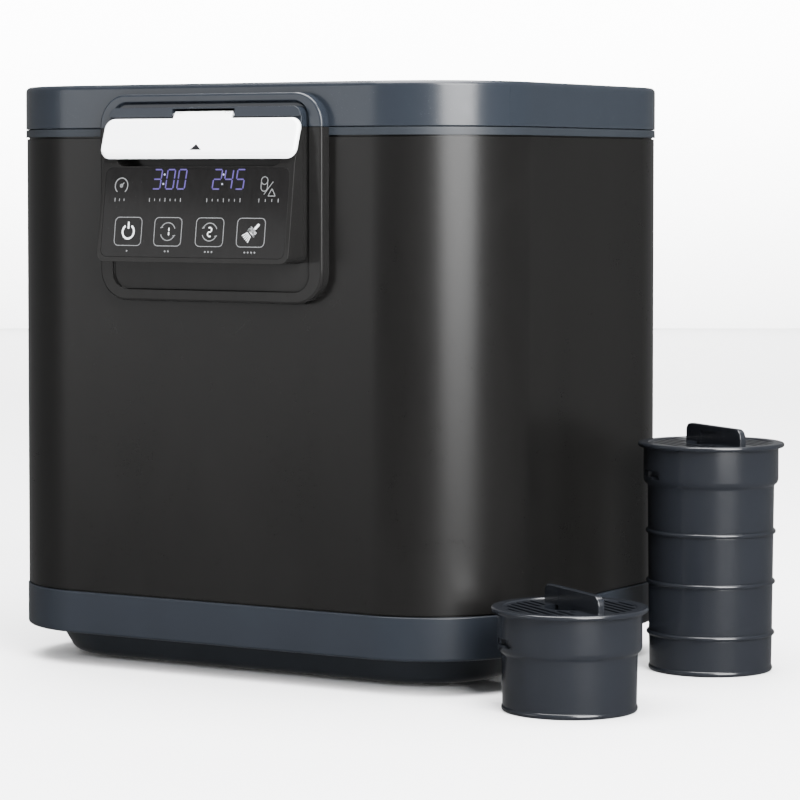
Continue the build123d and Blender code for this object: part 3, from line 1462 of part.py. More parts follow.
def canister_cap(place, height):
    """A vented cap: raised grip with a finger recess beside it, air slots, skirt and bayonet lugs."""
    x, y = place
    rim = height - cap_thickness
    skirt_bottom_z = height - lug_drop - lug_height / 2 - skirt_margin
    fin_way = (math.cos(math.radians(fin_azimuth)), math.sin(math.radians(fin_azimuth)), 0)
    across = Plane((x, y, height), x_dir=fin_way, z_dir=up)
    with BuildPart() as cap:
        with BuildSketch(Plane((x, y, rim))):
            Circle(cap_radius)
        extrude(amount=cap_thickness)
        fillet(cap.edges(), cap_round)
        with BuildSketch(Plane((x, y, rim))):
            Circle(skirt_radius)
        extrude(amount=skirt_bottom_z - rim)
        with BuildSketch(Plane((x, y, rim))):
            Circle(skirt_radius - skirt_thickness)
        extrude(amount=skirt_bottom_z - rim, mode=Mode.SUBTRACT)
        with BuildSketch(across):
            for slot in range(vent_slots):
                offset_y = vent_first + slot * vent_pitch
                length = 2 * math.sqrt(vent_radius ** 2 - offset_y ** 2)
                with Locations((0, offset_y), (0, -offset_y)):
                    RectangleRounded(length, vent_width, vent_width / 2.05)
            Circle(recess_radius + recess_wall, mode=Mode.SUBTRACT)
            with Locations((fin_shift + fin_length / 2, 0)):
                Rectangle(fin_length / 2, 2 * vent_first + vent_pitch, mode=Mode.SUBTRACT)
        extrude(amount=-cap_thickness, mode=Mode.SUBTRACT)
        with BuildSketch(across.offset(-recess_drop - recess_wall)):
            Circle(recess_radius + recess_wall)
        extrude(amount=recess_drop + recess_wall - cap_thickness)
        with BuildSketch(across.offset(-recess_drop)):
            Circle(recess_radius)
            Rectangle(2 * cap_radius, fin_thickness, mode=Mode.SUBTRACT)
        extrude(amount=recess_drop, mode=Mode.SUBTRACT)
        fin_plane = Plane(across.origin, x_dir=across.x_dir, z_dir=across.y_dir * -1)
        with BuildSketch(fin_plane):
            with Locations((fin_shift, fin_height / 2 - fin_corner / 2)):
                RectangleRounded(fin_length, fin_height + fin_corner, fin_corner)
            with Locations((fin_shift, -fin_corner)):
                Rectangle(fin_length, 2 * fin_corner, mode=Mode.SUBTRACT)
        extrude(amount=fin_thickness / 2, both=True)
        lug_section = height - lug_drop - lug_height / 2
        with BuildSketch(Plane((x, y, lug_section))):
            for lug in range(lugs):
                azimuth = lug_azimuth + 360 * lug / lugs
                ring_sector(lug_reach, skirt_radius - skirt_thickness / 2, azimuth, lug_angle)
        extrude(amount=lug_height)
    return cap


def charcoal_charge(place, height):
    """The packed charcoal granules, as one block with a sleeve's play round it."""
    x, y = place
    top = height - lug_drop - lug_height / 2 - charge_drop
    collar_bottom = height - collar_height
    with BuildPart() as charge:
        with BuildSketch(Plane((x, y, tube_wall + charge_lift))):
            Circle(tube_radius(0, collar_bottom) - tube_wall - charge_play)
        extrude(amount=min(top, collar_bottom - 1) - tube_wall - charge_lift)
    return charge


tall_canister = canister_body(tall_place, tall_height, tall_beads)
tall_canister.part.label = "tall_canister"
export_step(tall_canister.part, "parts/tall_canister.step")

tall_cap = canister_cap(tall_place, tall_height)
tall_cap.part.label = "tall_cap"
export_step(tall_cap.part, "parts/tall_cap.step")

tall_charge = charcoal_charge(tall_place, tall_height)
tall_charge.part.label = "tall_charge"
export_step(tall_charge.part, "parts/tall_charge.step")

short_canister = canister_body(short_place, short_height, ())
short_canister.part.label = "short_canister"
export_step(short_canister.part, "parts/short_canister.step")

short_cap = canister_cap(short_place, short_height)
short_cap.part.label = "short_cap"
export_step(short_cap.part, "parts/short_cap.step")

short_charge = charcoal_charge(short_place, short_height)
short_charge.part.label = "short_charge"
export_step(short_charge.part, "parts/short_charge.step")

# ------------------------ screws that hold the base together
with BuildPart() as base_screws:
    with BuildSketch(Plane.XY.offset(pedestal_top + wall)):
        with GridLocations(2 * (width / 2 - pedestal_inset - base_screw_margin), base_screw_pitch, 2, 2):
            RegularPolygon(base_screw_radius, 6)
    extrude(amount=base_screw_head)
base_screws.part.label = "base_screws"
export_step(base_screws.part, "parts/base_screws.step")
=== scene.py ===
import json
import math

import bmesh
import bpy
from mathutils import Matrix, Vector


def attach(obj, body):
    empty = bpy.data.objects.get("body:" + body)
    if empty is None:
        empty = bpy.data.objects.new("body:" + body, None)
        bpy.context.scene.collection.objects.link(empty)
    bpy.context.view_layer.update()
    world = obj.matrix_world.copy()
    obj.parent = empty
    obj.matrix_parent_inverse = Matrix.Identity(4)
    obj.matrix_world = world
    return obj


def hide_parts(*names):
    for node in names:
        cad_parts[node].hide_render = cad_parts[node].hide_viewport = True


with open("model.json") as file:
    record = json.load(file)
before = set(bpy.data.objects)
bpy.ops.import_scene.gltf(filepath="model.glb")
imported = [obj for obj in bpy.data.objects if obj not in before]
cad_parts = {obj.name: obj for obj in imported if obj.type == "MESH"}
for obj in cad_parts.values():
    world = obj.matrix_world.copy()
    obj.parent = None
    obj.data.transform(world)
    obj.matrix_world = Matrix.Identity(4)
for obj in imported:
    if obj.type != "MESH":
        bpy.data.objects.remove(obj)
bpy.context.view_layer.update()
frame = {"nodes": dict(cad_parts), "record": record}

# ---- measures, in millimetres
MM = 0.001
CREASE, HARD_EDGE = 32, 40  # in degrees
half_width, half_depth, corner = 150.0, 120.0, 59.0
foot_height, pedestal_top, band_top, shell_top = 2.5, 17.5, 39.4, 276.7
collar_top, lid_low, lid_top = 280.6, 280.9, 303.3
deck_top, deck_low = 262.0, 259.5
shadow_gap, shell_inset, shell_wall, seam = 0.8, 0.5, 2.2, 0.3
hinge_y, hinge_z, hinge_places = 125.0, 287.0, (-78.0, 78.0)
hinge_radius, hinge_root, knuckle_half, lug_half = 4.2, 119.4, 8.0, 4.0
window_place, window_half = (0.0, 240.0), (48.0, 18.0)
pin_y, pin_z = -129.7, 287.2
bucket_x = -40.0
well_x, well_y, well_rim = 95.0, 43.5, 264.0
fan_place, fan_half = (58.0, 112.0), (30.0, 30.0)
inlet_place, inlet_half = (-60.0, 63.0), (14.0, 10.0)
panel_place, panel_lean = (0.0, -139.75, 238.0), 7.632
flap_place, flap_lean = (0.0, -136.25, 275.75), 17.92
tall_place, tall_height, tall_beads = (198.0, 45.0), 118.5, (19.7, 46.3, 72.4)
short_place, short_height = (196.0, -107.0), 50.0
grip_turn, grip_shift, lug_turn, lug_count = -34.5, 4.5, 224.0, 2
tube_radius, tube_draft, collar_radius, collar_height = 32.8, 0.0105, 35.0, 20.8
cap_radius, cap_thickness, lug_drop, cup_radius = 37.9, 2.4, 15.6, 13.2
vent_rows, vent_first, vent_pitch, vent_half, vent_reach, grip_room = 6, 7.0, 4.6, 1.15, 31.2, 18.2


def metres(point):
    return tuple(MM * value for value in point)


def near(value, target, slack=0.05):
    return abs(value - target) < slack


def depth_inside(at):
    """How far a point lies inside the casing's outline, seen from above."""
    across, along = abs(at.x) - half_width + corner, abs(at.y) - half_depth + corner
    return corner - math.hypot(max(across, 0), max(along, 0)) - min(max(across, along), 0)


# ---- bench work
def put_down():
    """Leave the piece in hand and let go of everything."""
    if bpy.context.mode != "OBJECT":
        bpy.ops.object.mode_set(mode="OBJECT")
    bpy.ops.object.select_all(action="DESELECT")


def hold(*pieces):
    put_down()
    for piece in pieces:
        piece.select_set(True)
    bpy.context.view_layer.objects.active = pieces[0]


def select_all(action="SELECT"):
    bpy.ops.mesh.select_all(action=action)


def open_up(piece):
    """Take a piece into edit mode with nothing on it selected."""
    hold(piece)
    bpy.ops.object.mode_set(mode="EDIT")
    select_all("DESELECT")


def settle(piece=None, name=None):
    """Put a piece's place into its mesh, and name it."""
    piece = piece or bpy.context.active_object
    hold(piece)
    bpy.ops.object.transform_apply(location=True, rotation=True, scale=True)
    if name:
        piece.name = piece.data.name = name
    return piece


def pick(piece, part, wanted):
    """In edit mode, select the corners, edges or faces whose place and direction are wanted."""
    bpy.ops.mesh.select_mode(type=part)
    select_all("DESELECT")
    shape = bmesh.from_edit_mesh(piece.data)
    items = {"VERT": shape.verts, "EDGE": shape.edges, "FACE": shape.faces}[part]
    for item in items:
        if part == "EDGE":
            start, end = (vertex.co for vertex in item.verts)
            place, way = (start + end) / 2, (end - start).normalized()
        else:
            place, way = (item.co if part == "VERT" else item.calc_center_median()), item.normal
        if wanted(place / MM, way):
            item.select_set(True)
    bmesh.update_edit_mesh(piece.data)


def rim(axis, level):
    """A test for edges that lie flat at a level on an axis."""
    return lambda at, way: abs(getattr(way, axis)) < 0.01 and near(getattr(at, axis), level)


def take_face(piece, side, level):
    """Open a piece and select its faces at a height that look up, for side 1, or down, for side -1."""
    open_up(piece)
    pick(piece, "FACE", lambda at, way: side * way.z > 0.9995 and near(at.z, level))


def inset(width):
    bpy.ops.mesh.inset(thickness=width * MM, depth=0)


def push(x=0.0, y=0.0, z=0.0):
    """Draw the selection out into new material."""
    bpy.ops.mesh.extrude_region_move(TRANSFORM_OT_translate={"value": metres((x, y, z))})


def sink(piece, side, level, margin, depth):
    """Draw a level face up or down, all but a margin."""
    take_face(piece, side, level)
    inset(margin)
    push(z=depth)


def shift(x=0.0, y=0.0, z=0.0):
    bpy.ops.transform.translate(value=metres((x, y, z)))


def shrink(x, y, centre):
    bpy.ops.transform.resize(value=(x, y, 1), center_override=metres(centre))


def drop_faces():
    bpy.ops.mesh.delete(type="FACE")


def take_rims():
    """Select the open edges of the piece in hand."""
    bpy.ops.mesh.select_mode(type="EDGE")
    select_all("DESELECT")
    bpy.ops.mesh.select_non_manifold()


def join_ends(piece):
    """Close the two open rims of a piece with a wall."""
    take_rims()
    bpy.ops.mesh.bridge_edge_loops()
    tidy(piece)


def tidy(piece):
    """Merge doubles and point every face outwards."""
    if bpy.context.mode == "OBJECT":
        open_up(piece)
    select_all()
    bpy.ops.mesh.remove_doubles(threshold=2e-6)
    bpy.ops.mesh.normals_make_consistent(inside=False)
    put_down()
    return piece


def round_edges(piece, wanted, radius, steps=4):
    open_up(piece)
    pick(piece, "EDGE", wanted)
    bpy.ops.mesh.bevel(offset=radius * MM, segments=steps, affect="EDGES", clamp_overlap=False)
    put_down()
    return piece


def block(name, low, high):
    put_down()
    middle = [MM * (a + b) / 2 for a, b in zip(low, high)]
    spans = [MM * (b - a) for a, b in zip(low, high)]
    bpy.ops.mesh.primitive_cube_add(size=1, location=middle, scale=spans)
    return settle(name=name)


def rounded(name, low, high, radius, along="z", steps=8):
    """A block whose four edges along one axis are rounded."""
    piece = block(name, low, high)
    return round_edges(piece, lambda at, way: abs(getattr(way, along)) > 0.99, radius, steps)


def plate(name, middle, half, front, back, radius=0, steps=4):
    """An upright plate: its middle and half sizes across and up, its front and back, its corners rounded."""
    low = (middle[0] - half[0], front, middle[1] - half[1])
    high = (middle[0] + half[0], back, middle[1] + half[1])
    return rounded(name, low, high, radius, "y", steps) if radius else block(name, low, high)


def grown(half, by):
    """Half sizes that are larger by a distance on every side."""
    return half[0] + by, half[1] + by


def rod(name, centre, radius, low, high, along="x", sides=40, edge=0.3):
    """A round bar along an axis, with its two rims eased."""
    put_down()
    index = "xyz".index(along)
    middle = list(centre)
    middle[index] = (low + high) / 2
    turn = {"x": (0, math.pi / 2, 0), "y": (math.pi / 2, 0, 0), "z": (0, 0, 0)}[along]
    bpy.ops.mesh.primitive_cylinder_add(vertices=sides, radius=radius * MM, depth=(high - low) * MM,
                                        location=metres(middle), rotation=turn)
    piece = settle(name=name)
    if edge:
        ends = (low, high)
        round_edges(piece, lambda at, way: any(near(getattr(at, along), end, 0.01) for end in ends), edge, 2)
    return piece


def turned(name, x, y, rings, sides=112, hollow=False):
    """A piece turned about an upright axis: a disc or hoop at the first ring, drawn from ring to ring."""
    put_down()
    radius, height = rings[0]
    bpy.ops.mesh.primitive_circle_add(vertices=sides, radius=radius * MM, location=metres((x, y, height)),
                                      fill_type="NOTHING" if hollow else "NGON")
    piece = settle(name=name)
    open_up(piece)
    if hollow:
        bpy.ops.mesh.select_mode(type="EDGE")
    select_all()
    for next_radius, next_height in list(rings[1:]) + ([rings[0]] if hollow else []):
        push(z=next_height - height)
        if next_radius != radius:
            shrink(next_radius / radius, next_radius / radius, (x, y, next_height))
        radius, height = next_radius, next_height
    return tidy(piece)


def cutout(name, points, along, low, high):
    """A plate cut to an outline: a disc with as many corners, each moved to its place, then drawn out."""
    put_down()
    bpy.ops.mesh.primitive_circle_add(vertices=len(points), radius=10 * MM, fill_type="NGON")
    piece = settle(name=name)
    open_up(piece)
    bpy.ops.mesh.select_mode(type="VERT")
    for number, (first, second) in enumerate(points):
        place = {"x": (low, first, second), "y": (first, low, second), "z": (first, second, low)}[along]
        select_all("DESELECT")
        shape = bmesh.from_edit_mesh(piece.data)
        shape.verts.ensure_lookup_table()
        vertex = shape.verts[number]
        vertex.select_set(True)
        step = Vector(metres(place)) - vertex.co
        bmesh.update_edit_mesh(piece.data)
        bpy.ops.transform.translate(value=step)
    bpy.ops.mesh.select_mode(type="FACE")
    select_all()
    push(**{along: high - low})
    return tidy(piece)


def copied(piece, name, move=(0, 0, 0)):
    """A copy with its own mesh, moved by a step."""
    hold(piece)
    bpy.ops.object.duplicate()
    twin = bpy.context.active_object
    twin.location = metres(move)
    return settle(twin, name)


def lean(piece, place, angle):
    """Tip a piece that was drawn upright at the middle back by an angle, and carry it to its place."""
    piece.rotation_euler = (math.radians(-angle), 0, 0)
    piece.location = metres(place)
    return settle(piece)


def turn_to(piece, place, angle):
    """Turn a piece that was drawn at the middle about the upright axis, and carry it to its place."""
    piece.rotation_euler = (0, 0, math.radians(angle))
    piece.location = metres(place)
    return settle(piece)


def one_of(name, *pieces):
    """Join loose pieces into one."""
    hold(*pieces)
    if len(pieces) > 1:
        bpy.ops.object.join()
    return settle(name=name)


def modify(piece, kind, **settings):
    """Put a modifier on a piece, set it and apply it."""
    hold(piece)
    bpy.ops.object.modifier_add(type=kind)
    work = piece.modifiers[-1]
    for name, value in settings.items():
        setattr(work, name, value)
    bpy.ops.object.modifier_apply(modifier=work.name)
    return piece


def carve(piece, tool, operation="DIFFERENCE"):
    """Cut a piece with a tool, weld the tool on, or keep what both share. The tool is used up."""
    modify(piece, "BOOLEAN", operation=operation, object=tool, solver="EXACT")
    bpy.data.objects.remove(tool)
    return piece


def weld(piece, *others):
    for other in others:
        carve(piece, other, "UNION")
    return piece


def slice_off(piece, place, way):
    """Saw off everything beyond a plane and close the cut."""
    open_up(piece)
    select_all()
    bpy.ops.mesh.bisect(plane_co=metres(place), plane_no=way, use_fill=True, clear_outer=True)
    return tidy(piece)


def ease(piece, width, steps=2):
    """Take the sharpness off every hard edge."""
    return modify(piece, "BEVEL", width=width * MM, segments=steps, limit_method="ANGLE",
                  angle_limit=math.radians(HARD_EDGE), use_clamp_overlap=True)


def dress(piece, slot, *nodes, body="machine", look=None):
    """Smooth a piece, give it a finish, and let it ride on a body in the place of CAD nodes."""
    hold(piece)
    bpy.ops.object.shade_smooth_by_angle(angle=math.radians(CREASE))
    modify(piece, "WEIGHTED_NORMAL", keep_sharp=True, weight=60)
    piece.data.materials.clear()
    piece.data.materials.append(finishes[look or slot])
    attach(piece, body)
    if nodes:
        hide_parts(*nodes)
    return piece


# ---- finishes
class Signal:
    """A socket in a material's nodes that adds and multiplies like a number."""

    def __init__(self, tree, socket):
        self.tree, self.socket = tree, socket

    def node(self, kind, links, output=0, **settings):
        """Any node: its settings first, then the values or links of its sockets."""
        made = self.tree.nodes.new("ShaderNode" + kind)
        for name, value in settings.items():
            setattr(made, name, value)
        for place, value in links.items():
            if isinstance(value, Signal):
                self.tree.links.new(value.socket, made.inputs[place])
            else:
                made.inputs[place].default_value = value
        return Signal(self.tree, made.outputs[output])

    def maths(self, operation, *values):
        return self.node("Math", dict(enumerate(values)), operation=operation)

    def __add__(self, other):
        return self.maths("ADD", self, other)

    def __sub__(self, other):
        return self.maths("SUBTRACT", self, other)

    def __rsub__(self, other):
        return self.maths("SUBTRACT", other, self)

    def __mul__(self, other):
        return self.maths("MULTIPLY", self, other)

    def __pow__(self, other):
        return self.maths("POWER", self, other)

    __radd__, __rmul__ = __add__, __mul__

    def clip(self, low=0.0, high=1.0):
        return self.node("Clamp", {"Value": self, "Min": low, "Max": high})

    def between(self, low, high):
        """0 below low, 1 above high, and a smooth step from one to the other."""
        return self.node("MapRange", {"Value": self, "From Min": low, "From Max": high},
                         interpolation_type="SMOOTHSTEP")

    def part(self, axis):
        return self.node("SeparateXYZ", {"Vector": self}, output="xyz".index(axis))

    def stretched(self, x=1.0, y=1.0, z=1.0, place=(0, 0, 0)):
        return self.node("Mapping", {"Vector": self, "Location": place, "Scale": (x, y, z)})

    def noise(self, size, detail=2.0, rough=0.5, twist=0.0):
        """Cloudy noise whose blotches are about this size in millimetres."""
        return self.node("TexNoise", {"Vector": self, "Scale": 1 / (size * MM), "Detail": detail,
                                                "Roughness": rough, "Distortion": twist})

    def cells(self, size, feature="F1", output=0):
        return self.node("TexVoronoi", {"Vector": self, "Scale": 1 / (size * MM)}, output=output,
                         feature=feature)

    def blend(self, first, second):
        """One colour where this is 0 and another where it is 1."""
        ends = [(*value, 1) if isinstance(value, tuple) else value for value in (first, second)]
        return self.node("Mix", {0: self, 6: ends[0], 7: ends[1]}, output=2, data_type="RGBA")

    def relief(self, depth, strength=1.0):
        """Turn this height into a bump of a depth in millimetres."""
        return self.node("Bump", {"Height": self, "Distance": depth * MM, "Strength": strength})


def finish(name, tint, roughness, metallic=0.0, coat=0.0, gloss=0.5, **constants):
    """A new material: its shader, and the object's own coordinates to draw on it with."""
    made = bpy.data.materials.new(name)
    made.use_nodes = True
    tree = made.node_tree
    shader = tree.nodes["Principled BSDF"]
    for place, value in {"Base Color": (*tint, 1), "Roughness": roughness, "Metallic": metallic,
                         "Coat Weight": coat, "Specular IOR Level": gloss, **constants}.items():
        shader.inputs[place].default_value = value
    start = tree.nodes.new("ShaderNodeTexCoord").outputs["Object"]

    def wire(**signals):
        for place, signal in signals.items():
            tree.links.new(signal.socket, shader.inputs[place.replace("_", " ")])
        return made

    return Signal(tree, start), wire


def shade(tint, factor):
    return tuple(min(1.0, value * factor) for value in tint)


def moulded(name, tint, roughness, grain=0.9, depth=0.012, mottle=0.10, smear=0.05, coat=0.0, **constants):
    """Moulded plastic: fine grain, faint flow marks in its colour, and patches rubbed a little smoother."""
    here, wire = finish(name, tint, roughness, coat=coat, **constants)
    fine, flow = here.noise(grain, 3, 0.6), here.stretched(1, 1, 0.35).noise(38, 3, 0.55, 0.6)
    rubbed = here.noise(17, 4, 0.6, 1.1).between(0.52, 0.78)
    cloud = (flow * 0.7 + fine * 0.3).between(0.3, 0.7)
    colour = cloud.blend(shade(tint, 1 - mottle), shade(tint, 1 + mottle))
    rough = (roughness + (fine - 0.5) * 0.10 + (flow - 0.5) * 0.06 - rubbed * smear).clip(0.03, 1)
    return wire(Base_Color=colour, Roughness=rough, Normal=fine.relief(depth))


def polished(name, tint, roughness, coat=0.6):
    """Gloss plastic or glass: near black, with wiped smears and a few specks of dust."""
    here, wire = finish(name, tint, roughness, coat=coat, gloss=0.045, **{"Coat Roughness": 0.06})
    wiped = here.stretched(1, 1, 0.4).noise(9, 4, 0.62, 2.2)
    dust = here.cells(3.1).between(0.055, 0.02) * here.noise(14, 2).between(0.45, 0.7)
    colour = (dust * 0.4 + wiped * 0.015).clip().blend(tint, (0.16, 0.16, 0.16))
    rough = (roughness + (wiped - 0.5) * 0.06 + dust * 0.3).clip(0.03, 1)
    return wire(Base_Color=colour, Roughness=rough, Normal=here.noise(30, 2).relief(0.03, 0.35))


def metal(name, tint, roughness, strokes=(1, 1, 1), stroke=0.5, tarnish=0.12):
    """Worked metal: fine strokes along one way, and a little tarnish."""
    here, wire = finish(name, tint, roughness, metallic=1.0)
    drawn = here.stretched(*strokes).noise(stroke, 3, 0.7)
    aged = here.noise(13, 4, 0.6, 0.8).between(0.4, 0.75)
    colour = aged.blend(shade(tint, 1.05), shade(tint, 1 - 2 * tarnish))
    rough = (roughness + (drawn - 0.5) * 0.18 + aged * tarnish).clip(0.05, 1)
    return wire(Base_Color=colour, Roughness=rough, Normal=drawn.relief(0.004))


def rubbery(name, tint, roughness, pore=0.6):
    """Rubber or silicone: matt, finely pitted, with a dusty bloom."""
    here, wire = finish(name, tint, roughness, **{"Sheen Weight": 0.15})
    pores, bloom = here.cells(pore), here.noise(8, 4, 0.6, 0.7).between(0.45, 0.8)
    colour = bloom.blend(tint, tuple(min(1.0, 1.5 * value + 0.012) for value in tint))
    return wire(Base_Color=colour, Roughness=(roughness + bloom * 0.1 + (pores - 0.5) * 0.05).clip(),
                Normal=pores.relief(0.02))


def coated(name, tint, roughness):
    """Non-stick coating: speckled, with arcs that the stirring blades have worn."""
    here, wire = finish(name, tint, roughness, metallic=0.25)
    speckle = here.cells(1.6).between(0.30, 0.12)
    centred = here.stretched(place=(-bucket_x * MM, 0, 0))
    away = (centred.part("x") ** 2 + centred.part("y") ** 2) ** 0.5
    worn = away.node("TexNoise", {"W": away * 1400, "Scale": 1.0, "Detail": 3.0},
                     noise_dimensions="1D")
    patchy = here.noise(24, 3).between(0.45, 0.65)
    scratches = worn.between(0.60, 0.74) * patchy
    colour = (speckle * 0.55 + scratches * 0.35).clip().blend(tint, (0.30, 0.30, 0.31))
    rough = (roughness + speckle * 0.12 - scratches * 0.14 + (patchy - 0.5) * 0.06).clip(0.1, 1)
    return wire(Base_Color=colour, Roughness=rough, Normal=(speckle * 0.4 - scratches).relief(0.015))


def charcoal(name):
    """Packed granules: broken facets, some of them shiny, and the shiny ones also painted lighter as a
    painted glint.
    """
    here, wire = finish(name, (0.012, 0.012, 0.013), 0.7)
    grains, shine_and_painted_glint = here.cells(3.2), here.cells(3.2, output=1).part("x")
    # the lighter colour on the shinier grains is a painted glint; their lower roughness is real shine
    return wire(Base_Color=shine_and_painted_glint.blend((0.006, 0.006, 0.007), (0.035, 0.035, 0.038)),
                Roughness=0.85 - shine_and_painted_glint * 0.45, Normal=grains.relief(1.1))


def circuit(name):
    """Circuit board: green mask with lighter tracks and tinned pads."""
    here, wire = finish(name, (0.01, 0.10, 0.04), 0.35)
    tracks = here.cells(5, "DISTANCE_TO_EDGE").between(0.07, 0.03)
    pads = here.cells(4.2).between(0.20, 0.16)
    colour = pads.blend(tracks.blend((0.008, 0.085, 0.035), (0.03, 0.20, 0.08)), (0.55, 0.52, 0.45))
    return wire(Base_Color=colour, Roughness=0.45 - pads * 0.15, Metallic=pads,
                Normal=(tracks + pads).relief(0.04))


def lit(name, tint, glow):
    """A lit part of the display, its glow a little uneven in fine blotches."""
    here, wire = finish(name, shade(tint, 0.08), 0.4,
                        **{"Emission Strength": glow, "Emission Color": (*tint, 1)})
    flicker = here.noise(1.4, 2).between(0.2, 0.8)
    return wire(Emission_Color=flicker.blend(shade(tint, 0.86), shade(tint, 1.08)),
                Base_Color=flicker.blend(shade(tint, 0.06), shade(tint, 0.10)))


finishes = {
    "lid_slate": moulded("lid_slate_plastic", (0.0070, 0.0088, 0.0118), 0.25, mottle=0.05, gloss=0.25),
    # the band is the lid's slate plastic, its colour made a little darker as painted shade
    "band_slate": moulded("band_slate_painted_shade", (0.0066, 0.0081, 0.0108), 0.34, mottle=0.06, gloss=0.13),
    "shell_black": moulded("shell_satin_black", (0.0027, 0.0026, 0.0025), 0.30, mottle=0.12, smear=0.02,
                           gloss=0.16),
    # the pedestal is the same slate plastic, its colour made darker as painted shade for where it sits in
    # shadow under the band
    "pedestal_dark": moulded("pedestal_slate_painted_shade", (0.0054, 0.0064, 0.0080), 0.40, gloss=0.12),
    "bezel_black": polished("bezel_gloss_black", (0.0042, 0.0041, 0.0040), 0.22, coat=0.05),
    "panel_glass": polished("panel_black_glass", (0.0028, 0.0027, 0.0027), 0.10, coat=0.06),
    "lever_white": moulded("lever_white_gloss", (0.86, 0.87, 0.89), 0.22, grain=1.6, depth=0.003,
                           mottle=0.012, coat=0.4),
    "interior_grey": moulded("interior_grey_plastic", (0.0080, 0.0098, 0.0124), 0.42, gloss=0.2),
    "canister_slate": moulded("canister_slate_plastic", (0.0050, 0.0057, 0.0073), 0.21, grain=1.5,
                              depth=0.002, mottle=0.06, smear=0.015, gloss=0.32),
    "rubber_black": rubbery("foot_rubber", (0.012, 0.012, 0.012), 0.78),
    "silicone_grey": rubbery("gasket_silicone", (0.22, 0.22, 0.22), 0.55, 0.9),
    "bucket_coated": coated("bucket_coating", (0.030, 0.030, 0.032), 0.38),
    "chamber_metal": metal("chamber_aluminium", (0.62, 0.62, 0.63), 0.34, (0.05, 0.05, 1), 0.5),
    "steel": metal("bright_steel", (0.56, 0.57, 0.58), 0.28, (1, 0.06, 1), 0.4),
    "stainless": metal("brushed_stainless", (0.60, 0.59, 0.57), 0.24, (1, 1, 0.08), 0.5),
    "bronze": metal("bearing_bronze", (0.55, 0.34, 0.14), 0.36, (1, 1, 0.2), 0.6, tarnish=0.18),
    "gear_nylon": moulded("gear_nylon", (0.58, 0.56, 0.50), 0.42, grain=0.7, mottle=0.04,
                          **{"Subsurface Weight": 0.08}),
    "board_green": circuit("circuit_board"),
    "display_dark": moulded("display_dark_plastic", (0.02, 0.02, 0.024), 0.3),
    "charcoal": charcoal("charcoal_granules"),
    "print_grey": moulded("panel_print", (0.088, 0.090, 0.093), 0.45, grain=0.4, depth=0.002, mottle=0.05),
    "print_bright": moulded("panel_print_bright", (0.42, 0.43, 0.44), 0.4, grain=0.4, depth=0.002,
                            mottle=0.02),
    "mark_black": moulded("lever_mark_ink", (0.004, 0.004, 0.005), 0.5, grain=0.4, depth=0.002, gloss=0.1),
    "digit_glow": lit("digit_glow", (0.19, 0.12, 0.62), 0.55),
    "colon_glow": lit("colon_glow", (0.72, 0.76, 1.0), 0.9),
}
for subpart in frame["record"]["subparts"]:
    node = frame["nodes"][subpart["node"]]
    node.data.materials.clear()
    node.data.materials.append(finishes[subpart["material_slot"]])


# ---- base
def casing(name, low, high, inside=0.0, steps=32):
    """A block with the casing's rounded outline, moved in by a distance."""
    x, y = half_width - inside, half_depth - inside
    return rounded(name, (-x, -y, low), (x, y, high), corner - inside, steps=steps)


pedestal_inset, pedestal_round, tray_floor = 16.7, 4.0, 5.0
underside_share, tray_share = (0.9476, 0.9323), (0.9555, 0.9423)    # of the width and depth higher up
pedestal = casing("pedestal", foot_height, pedestal_top, pedestal_inset, 24)
take_face(pedestal, -1, foot_height)
shrink(*underside_share, (0, 0, foot_height))
round_edges(pedestal, rim("z", foot_height), pedestal_round, 6)
sink(pedestal, 1, pedestal_top, shell_wall, tray_floor - pedestal_top)
shrink(*tray_share, (0, 0, tray_floor))
tidy(pedestal)
# the pedestal's slate colour is darkened as painted shade
dress(pedestal, "pedestal_dark", "pedestal_tray")

foot_x, foot_y, foot_rim, foot_hollow = 98, 68, 2.6, 0.5
foot = turned("foot", foot_x, foot_y,
              [(8.4, 0), (9.0, 0.15), (9.4, 0.6), (9.9, 2.0), (9.9, foot_height)], 40)
sink(foot, -1, 0, foot_rim, foot_hollow)
tidy(foot)
feet = one_of("feet", foot, *[copied(foot, "foot", (-2 * foot_x * left, -2 * foot_y * front, 0))
                              for left, front in ((1, 0), (0, 1), (1, 1))])
dress(feet, "rubber_black", "rubber_feet")

band_rim, band_floor, band_ledge, band_underside = 4.2, 19.7, 17.1, 20.5
band = casing("band", pedestal_top, band_top)
round_edges(band, rim("z", band_top), 0.8, 3)
round_edges(band, rim("z", pedestal_top), 1.6, 4)
sink(band, 1, band_top, band_rim, band_floor - band_top)
inset(band_ledge)
drop_faces()
take_face(band, -1, pedestal_top)
inset(band_underside)
drop_faces()
join_ends(band)
# the band's slate colour is darkened a little as painted shade
dress(band, "band_slate", "base_band")

# ---- shell
shell_low, shell_high, joint_depth = band_top + shadow_gap, shell_top - shadow_gap, 1.1
shell = casing("shell", shell_low, shell_high, shell_inset)
for side, level in ((1, shell_high), (-1, shell_low)):
    sink(shell, side, level, joint_depth, side * shadow_gap)
    inset(shell_wall - joint_depth)
    drop_faces()
join_ends(shell)
round_edges(shell, lambda at, way: abs(way.z) < 0.01 and near(depth_inside(at), shell_inset)
            and (near(at.z, shell_high) or near(at.z, shell_low)), 0.35, 2)
carve(shell, one_of("openings", plate("window", window_place, window_half, -125, -110, 3),
                    plate("vent", fan_place, fan_half, 110, 125),
                    plate("socket", inlet_place, inlet_half, 110, 125, 2)))
dress(shell, "shell_black", "outer_shell")

